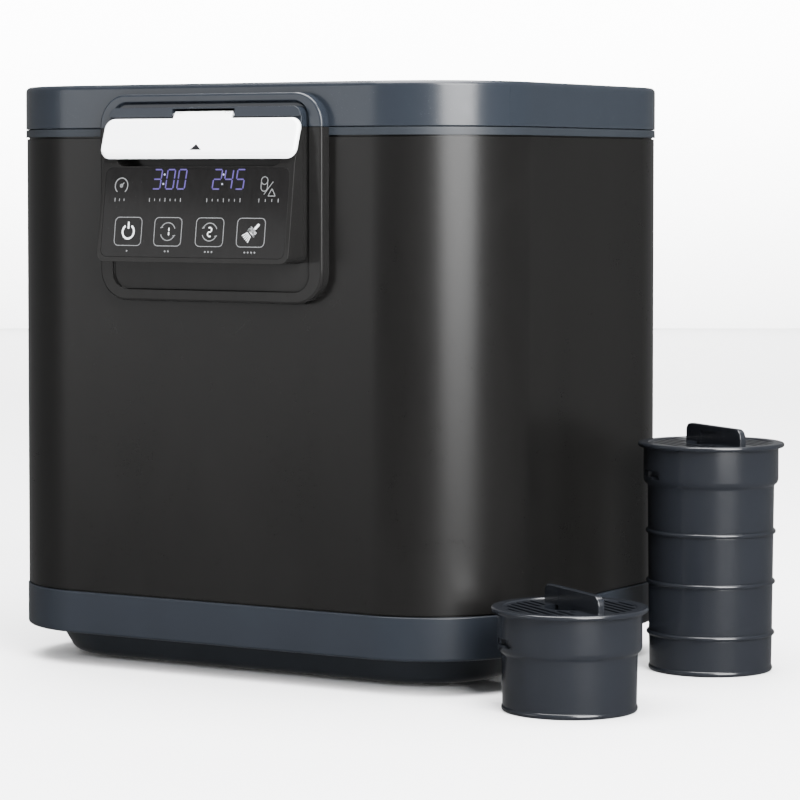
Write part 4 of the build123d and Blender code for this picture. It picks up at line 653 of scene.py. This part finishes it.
grille_face, grille_back, flange_back = 119.9, 117.3, 115.1
slat_rows, slat_pitch, slat_step = 8, 7.0, 27.0
grille = plate("grille", fan_place, grown(fan_half, -seam), grille_back, grille_face)
round_edges(grille, rim("y", grille_face), 0.5, 2)
weld(grille, plate("flange", fan_place, grown(fan_half, 2.5), flange_back, grille_back))
first_slat = (fan_place[0] - slat_step / 2, fan_place[1] - slat_pitch * (slat_rows - 1) / 2)
slats = [plate("slat", first_slat, (12, 1.5), 105, 125, 1.4)]
slats += [copied(slats[0], "slat", (slat_step * column, 0, slat_pitch * row)) for column in (0, 1)
          for row in range(slat_rows) if column or row]
carve(grille, one_of("slats", *slats))
dress(grille, "bezel_black", "rear_grille", look="shell_black")

inlet_face = 121.5
socket = plate("socket", inlet_place, grown(inlet_half, 3), 119.5, inlet_face, 4, 6)
round_edges(socket, rim("y", inlet_face), 0.7, 3)
weld(socket, plate("socket_body", inlet_place, grown(inlet_half, -seam), 101.5, 119.8, 1.8))
carve(socket, plate("mouth", inlet_place, grown(inlet_half, -2.5), 105.5, 125, 2.5, 5))
# the inlet wears the pedestal's slate, darkened as painted shade
dress(socket, "bezel_black", "mains_inlet", look="pedestal_dark")

# ---- top frame: collar, deck and hinge knuckles
apron_inset, collar_rim, bucket_hole, well_hole, through_deck = 6.0, 7.6, 92.5, 40.0, (250, 270)


def hinge_web(x, half, low, high, back, *bends):
    """A web with a hinge's barrel: a block, some of its corners moved to slant it, and a rod."""
    web = block("web", (x - half, hinge_root, low), (x + half, hinge_y + back, high))
    open_up(web)
    for wanted, step in bends:
        pick(web, "VERT", wanted)
        shift(*step)
    return weld(web, rod("barrel", (0, hinge_y, hinge_z), hinge_radius, x - half, x + half))


deck = casing("deck", shell_top, collar_top)
round_edges(deck, rim("z", collar_top), 0.4, 2)
sink(deck, -1, shell_top, apron_inset, deck_low - shell_top)
sink(deck, 1, collar_top, collar_rim, deck_top - collar_top)
tidy(deck)
carve(deck, rod("bucket_hole", (bucket_x, 0, 0), bucket_hole, *through_deck, "z", 128, 0))
for side in (-1, 1):
    carve(deck, rod("well_hole", (well_x, side * well_y, 0), well_hole, *through_deck, "z", 96, 0))
knuckles = [hinge_web(x, knuckle_half, shell_top, hinge_z, 3.9,
                      (lambda at, way: at.z < 280 and at.y > 122, (0, -7.4, 0)),
                      (lambda at, way: at.z > 280 and at.y < 122, (0, 0.6, -6.4))) for x in hinge_places]
dress(one_of("deck", deck, *knuckles), "interior_grey", "top_frame")

# ---- bezel ring and pod, drawn whole
ring_half, ring_low, ring_high, ring_face, ring_back = 67.6, 192.7, 298.0, -126.5, -119.5
pod_half, pod_low, pod_high, pod_corner = 58.1, 213.0, 291.0, 4.5
glass_half, glass_corner, glass_thickness, glass_play = (55.85, 22.75), 3.85, 1.2, 0.01

ring = rounded("ring", (-ring_half, ring_face, ring_low), (ring_half, ring_back, ring_high), 16.0, "y", 20)
round_edges(ring, rim("y", ring_face), 1.3, 5)
hollow = rounded("hollow", (-59.8, -130.0, ring_low + 6), (59.8, -125.0, ring_high - 5), 9.0, "y", 12)
open_up(hollow)
pick(hollow, "VERT", lambda at, way: near(at.y, -130.0) and at.z > 280)
shift(z=3.2)
carve(ring, hollow)
ease(ring, 0.4, 3)

face = [(-125.0, pod_low), (-143.1, pod_low), (-136.4, 263.0), (-129.9, 286.1), (-131.4, 286.1),
        (-130.9, pod_high), (-125.0, pod_high)]
pod = cutout("pod", face, "x", -pod_half, pod_half)
outline = rounded("pod_outline", (-pod_half, -150, pod_low), (pod_half, -120, pod_high), pod_corner, "y", 8)
carve(pod, outline, "INTERSECT")
carve(pod, rounded("scoop", (-50, -150, 261.3), (50, -126.3, 277.3), 4.6, "y", 6))
ease(pod, 0.9, 3)
pocket = plate("pocket", (0, 0), grown(glass_half, glass_play), -5, glass_thickness,
               glass_corner + glass_play, 8)
carve(pod, lean(pocket, panel_place, panel_lean))
board_room = plate("board_room", (0, 0), (47.5, 18.5), 1.0, 30)
carve(pod, lean(board_room, panel_place, panel_lean))

ring_top, pod_top = copied(ring, "ring_top"), copied(pod, "pod_top")
for piece in (ring, pod):
    slice_off(piece, (0, 0, collar_top), (0, 0, 1))
carve(ring, plate("window", window_place, window_half, -130, -110))
for piece in (ring_top, pod_top):
    slice_off(piece, (0, 0, lid_low), (0, 0, -1))
dress(ring, "bezel_black", "control_bezel")
dress(pod, "bezel_black", "pod_housing")

glass = plate("glass", (0, 0), glass_half, 0, glass_thickness, glass_corner, 8)
round_edges(glass, rim("y", 0), 0.3, 3)
dress(lean(glass, panel_place, panel_lean), "panel_glass", "touch_panel_glass")


# ---- signs on the glass, drawn upright and then leaned
PROUD, SUNK = 0.06, 0.02  # how far a print stands out of the glass and reaches into it


def bar(u, v, long, thick, angle=0.0, proud=PROUD):
    """A thin printed stroke, centred at a place on the panel."""
    piece = plate("bar", (0, 0), (long / 2, thick / 2), -proud, SUNK, thick * 0.42, 2)
    piece.rotation_euler = (0, math.radians(-angle), 0)
    piece.location = metres((u, 0, v))
    return settle(piece)


def hoop(u, v, radius, thick, start=0.0, sweep=360.0):
    """A printed arc: a short stroke spun round its centre."""
    angle = math.radians(start)
    put_down()
    bpy.ops.mesh.primitive_plane_add(size=MM, location=(radius * MM, -(PROUD - SUNK) / 2 * MM, 0))
    bpy.context.active_object.scale = (thick, PROUD + SUNK, 1)
    piece = settle(name="hoop")
    open_up(piece)
    select_all()
    bpy.ops.mesh.spin(steps=max(8, int(sweep / 9)), angle=math.radians(sweep), center=(0, 0, 0),
                      axis=(0, 1, 0))
    if sweep == 360:
        select_all()
        bpy.ops.mesh.remove_doubles(threshold=2e-6)
        select_all("DESELECT")
        bpy.ops.mesh.select_interior_faces()
        drop_faces()
    tidy(piece)
    piece.rotation_euler = (0, -angle, 0)
    piece.location = metres((u, 0, v))
    return settle(piece)


def frame_of(u, v, wide, high, radius, thick):
    """A printed outline with round corners."""
    half = (wide / 2, high / 2)
    piece = plate("outline", (u, v), half, -PROUD, SUNK, radius, 6)
    return carve(piece, plate("inner", (u, v), grown(half, -thick), -1, 1, radius - thick, 6))


SEGMENTS = {"0": "abcdef", "1": "bc", "2": "abdeg", "3": "abcdg", "4": "bcfg", "5": "acdfg"}


def digit(figure, u, v, wide, high, thick, slant=0.10):
    """A figure of seven strokes, leaning to the right."""
    middle = {"a": (0, 1, 0), "g": (0, 0, 0), "d": (0, -1, 0), "f": (-1, 0.5, 1), "b": (1, 0.5, 1),
              "e": (-1, -0.5, 1), "c": (1, -0.5, 1)}
    strokes = []
    for segment in SEGMENTS[figure]:
        across, up, upright = middle[segment]
        y = v + up * high / 2
        x = u + across * wide / 2 + slant * up * high / 2
        length = (high / 2 if upright else wide) - thick * 0.9
        strokes.append(bar(x, y, length, thick, 90 - math.degrees(math.atan(slant)) if upright else 0))
    return strokes


def on_glass(name, strokes, slot, look):
    """Join strokes that were drawn upright and lay them on the leaning glass."""
    dress(lean(one_of(name, *strokes), panel_place, panel_lean), slot, look=look)


clock_row, tick_row, key_row, dot_row = 16.9, 6.4, -9.6, -19.6
clock = []
for figures, places in (("300", (-23.6, -15.6, -8.6)), ("245", (12.9, 19.6, 26.7))):
    for figure, u in zip(figures, places):
        clock += digit(figure, u, clock_row, 4.6, 9.8, 0.66)
on_glass("clock_digits", clock, "display_dark", "digit_glow")
points = [bar(u + 0.09 * v, clock_row + v, 1.0, 1.0, 0) for u in (-19.6, 16.2) for v in (-2.4, 2.4)]
on_glass("clock_points", points, "display_dark", "colon_glow")

# the keys' frames, the dial, the two linked rings with their stroke, and the triangle
key_places = (-39.4, -14.9, 10.5, 35.2)
signs = [frame_of(u, key_row - 0.1, 16.9, 14.7, 2.6, 0.34) for u in key_places]
signs += [hoop(-45.6, 13.6, 3.9, 0.5, -52, 284), bar(-44.9, 14.2, 2.6, 0.45, 48),
          hoop(-45.6, 13.6, 0.75, 0.4)]
signs += [hoop(41.2, 16.3, 1.9, 0.35), bar(39.3, 14.6, 3.4, 0.35, 90), bar(43.1, 14.6, 3.4, 0.35, 90),
          hoop(41.2, 12.9, 1.9, 0.35, 180, 180), bar(43.8, 12.6, 8.2, 0.35, 52)]
signs += [bar(45.9, 8.6, 4.4, 0.38), bar(44.8, 10.4, 4.2, 0.38, 60), bar(47.0, 10.4, 4.2, 0.38, -60)]
# two arrows in a circle on the middle keys, then the scales under the displays and the keys' dots
for u in key_places[1:3]:
    signs += [hoop(u, key_row, 4.5, 0.42, start, 130) for start in (20, 200)]
    signs += [bar(u + side * 3.9, key_row - side * 2.0, 1.6, 0.42, 10) for side in (-1, 1)]
for start, end, ticks in ((-27.6, -8.6, 7), (7.4, 27.4, 7), (-49.0, -43.4, 3), (38.6, 50.0, 4)):
    for tick in range(ticks):
        u = start + (end - start) * tick / (ticks - 1)
        signs += [bar(u, tick_row, 1.3 if tick % 3 else 2.0, 0.4, 90)]
for number, u in enumerate(key_places):
    signs += [bar(u + 2.0 * (dot - number / 2), dot_row, 0.9, 0.9) for dot in range(number + 1)]
on_glass("panel_signs", signs, "panel_glass", "print_grey")

# the power sign, the figures 1 and 2, and the brush
bright = [hoop(-39.3, -9.9, 3.5, 0.95, 122, 296), bar(-39.3, -6.6, 3.6, 0.95, 90)]
bright += digit("1", key_places[1] - 0.7, key_row, 2.6, 4.4, 0.6, 0)
bright += digit("2", key_places[2], key_row, 2.2, 4.4, 0.6, 0)
u, v = key_places[3], key_row
bright += [bar(u + 3.4, v + 2.9, 3.6, 1.3, 45), bar(u + 1.3, v + 0.9, 1.7, 5.0, 45, 0.12),
           bar(u + 0.2, v - 0.2, 1.0, 5.4, 45, 0.09)]
bright += [bar(u - 2.2 + 0.055 * fan, v - 2.2 - 0.055 * fan, 3.6, 0.42, 45 + 0.7 * fan)
           for fan in (-24, -12, 0, 12, 24)]
on_glass("panel_signs_bright", bright, "panel_glass", "print_bright")

# ---- lid
lid_margin, lid_wall, lid_room, lug_place = 7.0, 1.7, 19.9, 12.4
lid = casing("lid", lid_low, lid_top)
round_edges(lid, rim("z", lid_top), 2.6, 7)
round_edges(lid, rim("z", lid_low), 0.5, 2)
take_face(lid, 1, lid_top)
inset(lid_margin)
inset(1.2)
shift(z=-0.6)
sink(lid, -1, lid_low, lid_wall, lid_room)
tidy(lid)
weld(lid, ring_top, pod_top)
carve(lid, block("slot", (-18.9, -139.5, 275), (18.9, -113.5, 290.2)))
ears = [hinge_web(x + side * lug_place, lug_half, hinge_z - 4.4, hinge_z + 10, 2.5,
                  (lambda at, way: at.z > hinge_z and at.y > 122, (0, 0, -6.6)),
                  (lambda at, way: at.z < hinge_z and at.y > 122, (0, -2.5, 2.3)))
        for x in hinge_places for side in (-1, 1)]
dress(one_of("lid", lid, *ears), "lid_slate", "lid_outer", body="lid")

liner_low, liner_inset, skirt_step, skirt_wall, skirt_drop = 281.6, 2.4, 8.6, 2.5, 17.1
liner = casing("liner", liner_low, liner_low + 2.0, liner_inset, 28)
take_face(liner, -1, liner_low)
inset(skirt_step)
inset(skirt_wall)
skirt_inset = liner_inset + skirt_step
pick(liner, "FACE", lambda at, way: way.z < -0.99 and near(at.z, liner_low)
     and skirt_inset - 0.1 < depth_inside(at) < skirt_inset + skirt_wall + 0.1)
push(z=-skirt_drop)
tidy(liner)
ease(liner, 0.5)
dress(liner, "interior_grey", "lid_liner", body="lid")

gasket_low, gasket_high, gasket_inset, gasket_width = 262.3, 264.5, 10.6, 2.9
gasket = casing("gasket", gasket_low, gasket_high, gasket_inset, 28)
for side, level in ((1, gasket_high), (-1, gasket_low)):
    take_face(gasket, side, level)
    inset(gasket_width)
    drop_faces()
join_ends(gasket)
ease(gasket, 0.7, 3)
dress(gasket, "silicone_grey", "lid_gasket", body="lid")

# ---- pick-up lever
flap_thickness = 2.8
flap = plate("flap", (0, 0), (59.2, 10.56), 0, flap_thickness, 5.5, 10)
round_edges(flap, rim("y", 0), 1.8, 6)
round_edges(flap, rim("y", flap_thickness), 0.6, 2)
open_up(flap)
for level in (-7.2, -8.2, -9.2):
    select_all()
    bpy.ops.mesh.bisect(plane_co=metres((0, 0, level)), plane_no=(0, 0, 1))
    pick(flap, "VERT", lambda at, way: at.z < level - 0.1 and at.y < 1.9)
    shift(y=0.28)
put_down()
lean(flap, flap_place, flap_lean)
arm = cutout("arm", [(-129.9, 288.9), (-130.5, 288.7), (-131.5, 287.4), (-132.3, 286.0), (-133.4, 284.6),
                     (-132.0, 283.4), (-130.3, 285.6)], "x", -17.4, 17.4)
neck_half = 12
neck = cutout("neck", [(-130.4, 288.6), (-128.7, 285.2), (-131.8, 281.8), (-133.4, 283.6), (-132.6, 285.4)],
              "x", -neck_half, neck_half)
nose = cutout("nose", [(-128.8, 286.2), (-128.8, 282.9), (-127.1, 282.5), (-127.1, 281.3), (-130.6, 281.3),
                       (-130.6, 286.2)], "x", -6, 6)
barrel = rod("lever_barrel", (0, pin_y, pin_z), 1.75, -neck_half, neck_half)
dress(one_of("lever", flap, ease(arm, 0.25), neck, nose, barrel), "lever_white", "pick_up_lever",
      body="lever")

mark = cutout("mark", [(-3.5, -6.6), (3.5, -6.6), (0.0, -3.5)], "y", -PROUD, SUNK)
dress(lean(mark, flap_place, flap_lean), "lever_white", look="mark_black", body="lever")

wire_radius, coil_radius, coil_turns, coil_pitch = 0.28, 1.38, 7, 0.62
coils = []
for coil_start in (-17.0, 12.6):
    bpy.ops.mesh.primitive_circle_add(vertices=10, radius=wire_radius * MM, rotation=(math.pi / 2, 0, 0),
                                      location=(coil_radius * MM, 0, 0))
    coil = settle(name="coil")
    modify(coil, "SCREW", axis="Z", iterations=coil_turns, screw_offset=coil_pitch * MM, steps=20,
           render_steps=20)
    open_up(coil)
    take_rims()
    bpy.ops.mesh.edge_face_add()
    coil.rotation_euler = (0, math.pi / 2, 0)
    coil.location = metres((coil_start, pin_y, pin_z))
    coils += [tidy(settle(coil))]
dress(one_of("lever_coils", *coils), "steel", "lever_springs", body="lid")

# ---- heated chamber, bucket and bail
chamber = turned("chamber", bucket_x, 0, [
    (15, 104), (91.2, 104), (92, 104.8), (92, deck_top), (95.5, deck_top), (95.5, well_rim),
    (90.5, well_rim), (90.5, 107), (89.5, 106), (15, 106)], 128, hollow=True)
dress(chamber, "chamber_metal", "heating_chamber")

bucket = turned("bucket", bucket_x, 0, [
    (8, 112), (80.5, 112), (82.8, 112.6), (84.2, 114.0), (84.55, 116), (87.4, 263.6), (87.6, 264),
    (92.6, 264), (93, 264.4), (93, 265.6), (92.6, 266), (86.6, 266), (86.0, 265.8), (85.7, 265.2),
    (85.05, 232.4), (84.65, 231.8), (84.65, 230.8), (85.0, 230.2), (82.75, 118.5), (81.9, 116.2),
    (80.2, 114.6), (78, 113.8), (14.2, 113.8), (12.6, 114.4), (12, 116), (12, 121.4), (11.4, 122), (8, 122)],
    144, hollow=True)
lugs = [ease(rounded("bail_ear", (x - 1.8, -4.5, 265.5), (x + 1.8, 4.5, 272.7), 2.8, "x", 6), 0.4)
        for x in (bucket_x - 90.8, bucket_x + 90.8)]
dress(one_of("bucket", bucket, *lugs), "bucket_coated", "waste_bucket")

bail_radius, bail_wire, bail_z = 84, 1.8, 269.3
bpy.ops.mesh.primitive_torus_add(
    major_radius=bail_radius * MM, minor_radius=bail_wire * MM, major_segments=144, minor_segments=20,
    location=metres((bucket_x, 0, bail_z)))
bail = settle(name="bail")
slice_off(bail, (0, 0, 0), (0, 1, 0))
ends = [rod("bail_end", (0, 0, bail_z), bail_wire, bucket_x + low, bucket_x + high, sides=24)
        for low, high in ((-92.6, -83), (83, 92.6))]
dress(one_of("bail", bail, *ends), "stainless", "bucket_bail")


def well(name, y, floor):
    """A round pocket for a canister, with its barred outlet."""
    piece = turned(name, well_x, y, [
        (39.8, floor - 1.4), (39.8, deck_top), (41.2, deck_top), (41.2, well_rim - 0.4), (40.9, well_rim),
        (38.9, well_rim), (38.4, well_rim - 0.6), (38.4, floor)], 112)
    outlet_x, bar_half, bar_reach = well_x + 21, 1.2, 20
    outlet = rod("outlet", (outlet_x, y, 0), 12.4, floor - 4, floor + 3, "z", 48, 0)
    for x_half, y_half in ((bar_reach, bar_half), (bar_half, bar_reach)):
        carve(outlet, block("cross_bar", (outlet_x - x_half, y - y_half, floor - 5),
                            (outlet_x + x_half, y + y_half, floor + 5)))
    return carve(piece, outlet)


dress(well("tall_well", -well_y, 143.5), "interior_grey", "tall_filter_well")
dress(well("short_well", well_y, 212.0), "interior_grey", "short_filter_well")


# ---- stirring rotor
def bow(start, middle, end, steps):
    """Places along the arc through three points."""
    (ax, ay), (bx, by), (cx, cy) = start, middle, end
    a, b, c = ax * ax + ay * ay, bx * bx + by * by, cx * cx + cy * cy
    d = 2 * (ax * (by - cy) + bx * (cy - ay) + cx * (ay - by))
    x = (a * (by - cy) + b * (cy - ay) + c * (ay - by)) / d
    y = (a * (cx - bx) + b * (ax - cx) + c * (bx - ax)) / d
    first, last = math.atan2(ay - y, ax - x), math.atan2(cy - y, cx - x)
    if abs(last - first) > math.pi:
        last += math.copysign(2 * math.pi, first - last)
    radius = math.hypot(ax - x, ay - y)
    return [(x + radius * math.cos(first + (last - first) * step / steps),
             y + radius * math.sin(first + (last - first) * step / steps)) for step in range(steps + 1)]


def arm_of(name, reach, breadth, low, high):
    """A swept blade along X, with a bowed leading and trailing side."""
    lead = bow((4, breadth / 2), (reach * 0.55, breadth * 1.1), (reach, -breadth * 0.9), 10)
    trail = bow((reach - breadth * 0.45, -breadth * 1.5), (reach * 0.52, 0.1), (4, -breadth / 2), 10)
    piece = cutout(name, lead + trail, "z", low, high)
    round_edges(piece, rim("z", high), 2.2, 4)
    return round_edges(piece, rim("z", low), 0.5, 2)


rotor_low, sweep_high, paddle_low, paddle_high, arm_breadth = 115.8, 126.8, 138, 151, 9
hub = turned("hub", bucket_x, 0, [
    (16.2, rotor_low), (17, 116.6), (17, 131), (16.2, 133.2), (11, 137.2), (10, 139), (9, paddle_high),
    (8, 167), (7.2, 169.8), (5, 172)], 72)
blades = []
for reach, low, high, turns in ((79.6, rotor_low, sweep_high, (0, 180)),
                                (65.8, paddle_low, paddle_high, (90, 270))):
    blades += [turn_to(arm_of("blade", reach, arm_breadth, low, high), (bucket_x, 0, 0), turn)
               for turn in turns]
for piece in (hub, *blades[:2]):
    carve(piece, rod("boss_room", (bucket_x, 0, 0), 13, 110, 123, "z", 64, 0))
dress(one_of("rotor", hub, *blades), "stainless", "stirring_rotor", body="rotor")


# ---- charcoal canisters and their caps
def roll(skin, height, proud, half):
    """The rings of a round bead on a wall."""
    turns = [math.pi * (step / 6 - 0.5) for step in range(7)]
    return [(skin + proud * math.cos(turn), height + half * math.sin(turn)) for turn in turns]


def canister(name, place, height, beads):
    """A tapered tube with beads, a collar with its bayonet slots, and drains in its floor."""
    collar_low, mouth_top = height - collar_height, height - cap_thickness

    def skin(z):
        return tube_radius - tube_draft * (collar_low - z)

    foot_skin = skin(0)
    rings = [(foot_skin - 2.0, 0.3), (foot_skin - 1.6, 0), (foot_skin - 0.6, 0)]
    rings += roll(foot_skin - 0.8, 1.45, 1.25, 1.45)[1:-1] + [(foot_skin - 0.1, 3.0)]
    for bead in beads:
        rings += [(skin(bead - 1.7), bead - 1.7)] + roll(skin(bead) - 0.05, bead, 1.3, 1.25) \
            + [(skin(bead + 1.7), bead + 1.7)]
    rings += [(tube_radius + out, collar_low + up) for out, up in ((0, -1.9), (0.15, -1.3), (0.7, -0.75))]
    rings += [(collar_radius - back, collar_low + up) for back, up in ((0.75, -0.1), (0.25, 0.8), (0, 2.2))]
    rings += [(collar_radius, mouth_top), (collar_radius - 1.5, mouth_top),
              (collar_radius - 1.5, collar_low + 1.2), (tube_radius - 1.8, collar_low - 0.5),
              (foot_skin - 1.8, 1.8)]
    piece = turned(name, *place, rings, 144)
    cuts = []
    for lug in range(lug_count):
        cut = block("cut", (-8.0, 28, -1.55), (8.0, 42, 1.55))
        carve(cut, block("notch", (-8.0, 27, -2.65), (-1.7, 43, 1.0)), "UNION")
        cuts += [turn_to(cut, (*place, height - lug_drop), lug_turn + 9 + 360 * lug / lug_count - 90)]
    carve(piece, one_of("cuts", *cuts))
    drains = [turn_to(rounded("drain", (11, -1.5, -2), (25, 1.5, 4), 1.4, "z", 4), (*place, 0), 45 * hole)
              for hole in range(8)]
    return carve(piece, one_of("drains", *drains))


def vented_cap(name):
    """A cap drawn at the middle with its top at height 0 and its grip along X."""
    skirt_low, skirt_out, skirt_in = -18.1, 33.2, 31.6
    edge = ((1, 0), (0.5, 0.15), (0.15, 0.5), (0, 1.0), (0, 1.5), (0.2, 2.0), (0.6, 2.3), (1, cap_thickness))
    cap = turned(name, 0, 0, [
        (32.0, -0.5), (32.6, 0), *((cap_radius - back, -down) for back, down in edge),
        (skirt_out, -cap_thickness), (skirt_out, skirt_low), (skirt_in, skirt_low),
        (skirt_in, -cap_thickness)], 144)
    weld(cap, rod("cup", (0, 0, 0), cup_radius, -8.2, -2.0, "z", 72, 0))
    vents = []
    for row in range(vent_rows):
        away = vent_first + vent_pitch * row
        half = math.sqrt(vent_reach ** 2 - away ** 2)
        spans = [(-half, half)]
        if away < cup_radius:
            room = math.sqrt((cup_radius + 0.7) ** 2 - away ** 2)
            spans = [(-half, -room), (room, grip_room if row == 0 else half)]
        for low, high in spans:
            for y in (-away, away):
                vents += [rounded("vent", (low, y - vent_half, -4), (high, y + vent_half, 2),
                                  vent_half - 0.05, "z", 4)]
    carve(cap, one_of("vents", *vents))
    grip_half, grip_height = 1.8, 8.5
    recess = rod("recess", (0, 0, 0), 12, -7, 3, "z", 64, 0)
    carve(recess, block("strip", (-20, -grip_half, -9), (20, grip_half, 5)))
    carve(cap, recess)
    grip = block("grip", (grip_shift - 28, -grip_half, -7), (grip_shift + 28, grip_half, grip_height))
    for end, radius, steps in ((-1, 4.0, 8), (1, 5.0, 10)):
        round_edges(grip, lambda at, way: abs(way.y) > 0.99 and near(at.z, grip_height) and at.x * end > 0,
                    radius, steps)
    ease(grip, 0.6, 3)
    for low, high in ((-30, -11.9), (11.9, 40)):
        carve(grip, block("trim", (low, -4, -9), (high, 4, -1.0)))
    for y in (-2.0, 2.0):
        carve(grip, block("panel", (-8.5, y - 0.4, -3.1), (6.5, y + 0.4, 5.2)))
    lugs = [turn_to(block("lug", (32.4, -2.1, -lug_drop - 1.1), (34.6, 2.1, -lug_drop + 1.1)), (0, 0, 0),
                    lug_turn - grip_turn + 360 * lug / lug_count) for lug in range(lug_count)]
    return one_of(name, cap, grip, *lugs)


for size, place, height, beads in (("tall", tall_place, tall_height, tall_beads),
                                   ("short", short_place, short_height, ())):
    dress(canister(size + "_tube", place, height, beads), "canister_slate", size + "_canister")
cap = turn_to(vented_cap("tall_lid"), (*tall_place, tall_height), grip_turn)
dress(cap, "canister_slate", "tall_cap", body="tall_cap_turn")
low_cap = copied(cap, "short_lid", (short_place[0] - tall_place[0], short_place[1] - tall_place[1],
                                    short_height - tall_height))
dress(low_cap, "canister_slate", "short_cap", body="short_cap_turn")

# ---- floor, lights and camera, in metres
bpy.ops.mesh.primitive_plane_add(size=14)
floor = settle(name="floor")
here, wire = finish("pale_floor", (0.83, 0.83, 0.84), 0.42)
cloud = here.noise(400, 3)
floor.data.materials.append(wire(Base_Color=cloud.blend((0.82, 0.82, 0.83), (0.85, 0.85, 0.86)),
                                 Roughness=0.40 + cloud * 0.06))
floor.visible_glossy = False

sheet_place, sheet_turn, sheet_scale = (-1.9, 3.1, 0.72), math.radians(31), (2.3, 1.54, 1)
bpy.ops.mesh.primitive_plane_add(size=1, location=sheet_place, rotation=(math.pi / 2, 0, sheet_turn))
bpy.context.active_object.scale = sheet_scale
backdrop = settle(name="backdrop")
here, wire = finish("white_backdrop", (0.8, 0.8, 0.8), 0.9, **{"Emission Strength": 9.0})
rise = (here.part("z") + here.noise(900, 2) * 0.05).between(-0.05, 0.60)
backdrop.data.materials.append(wire(Emission_Color=rise.blend((0.14, 0.14, 0.142), (1.0, 1.0, 1.0))))
backdrop.visible_glossy = False

scene = bpy.context.scene
world = bpy.data.worlds.new("studio")
scene.world = world
world.use_nodes = True
surround = world.node_tree.nodes["Background"].inputs
surround["Color"].default_value, surround["Strength"].default_value = (1, 1, 1, 1), 0.3


def softbox(name, azimuth, distance, height, wide, high, radiance, aim=(0.0, 0.0, 0.15), mirrored=True):
    """A soft light: azimuth 0 stands in front of the machine and 90 at its right."""
    turn = math.radians(azimuth)
    data = bpy.data.lights.new(name, "AREA")
    data.shape, data.size, data.size_y = "RECTANGLE", wide, high
    data.energy = radiance * math.pi * wide * high
    lamp = bpy.data.objects.new(name, data)
    scene.collection.objects.link(lamp)
    lamp.location = (distance * math.sin(turn), -distance * math.cos(turn), height)
    lamp.rotation_euler = (Vector(aim) - lamp.location).to_track_quat("-Z", "Y").to_euler()
    lamp.visible_camera, lamp.visible_glossy = False, mirrored


softbox("corner_light", azimuth=58, distance=2.2, height=1.05, wide=1.4, high=1.95, radiance=40)
softbox("front_light", azimuth=-36, distance=2.4, height=0.36, wide=1.1, high=0.72, radiance=4.3)
softbox("top_light", azimuth=10, distance=0.2, height=2.2, wide=2.2, high=2.2, radiance=24)
softbox("floor_light", azimuth=211, distance=2.9, height=2.3, wide=3.2, high=2.6, radiance=12,
        aim=(-1.4, 2.3, 0.0), mirrored=False)

camera_place, camera_pitch, camera_turn = (0.9241, -1.4758, 0.2578), 2.596, 31.025
camera_data = bpy.data.cameras.new("camera")
camera_data.lens, camera_data.sensor_width, camera_data.shift_y = 145.71, 36.0, -0.1
camera = bpy.data.objects.new("camera", camera_data)
scene.collection.objects.link(camera)
camera.location = camera_place
camera.rotation_euler = (math.radians(90 - camera_pitch), 0, math.radians(camera_turn))
scene.camera = camera

put_down()
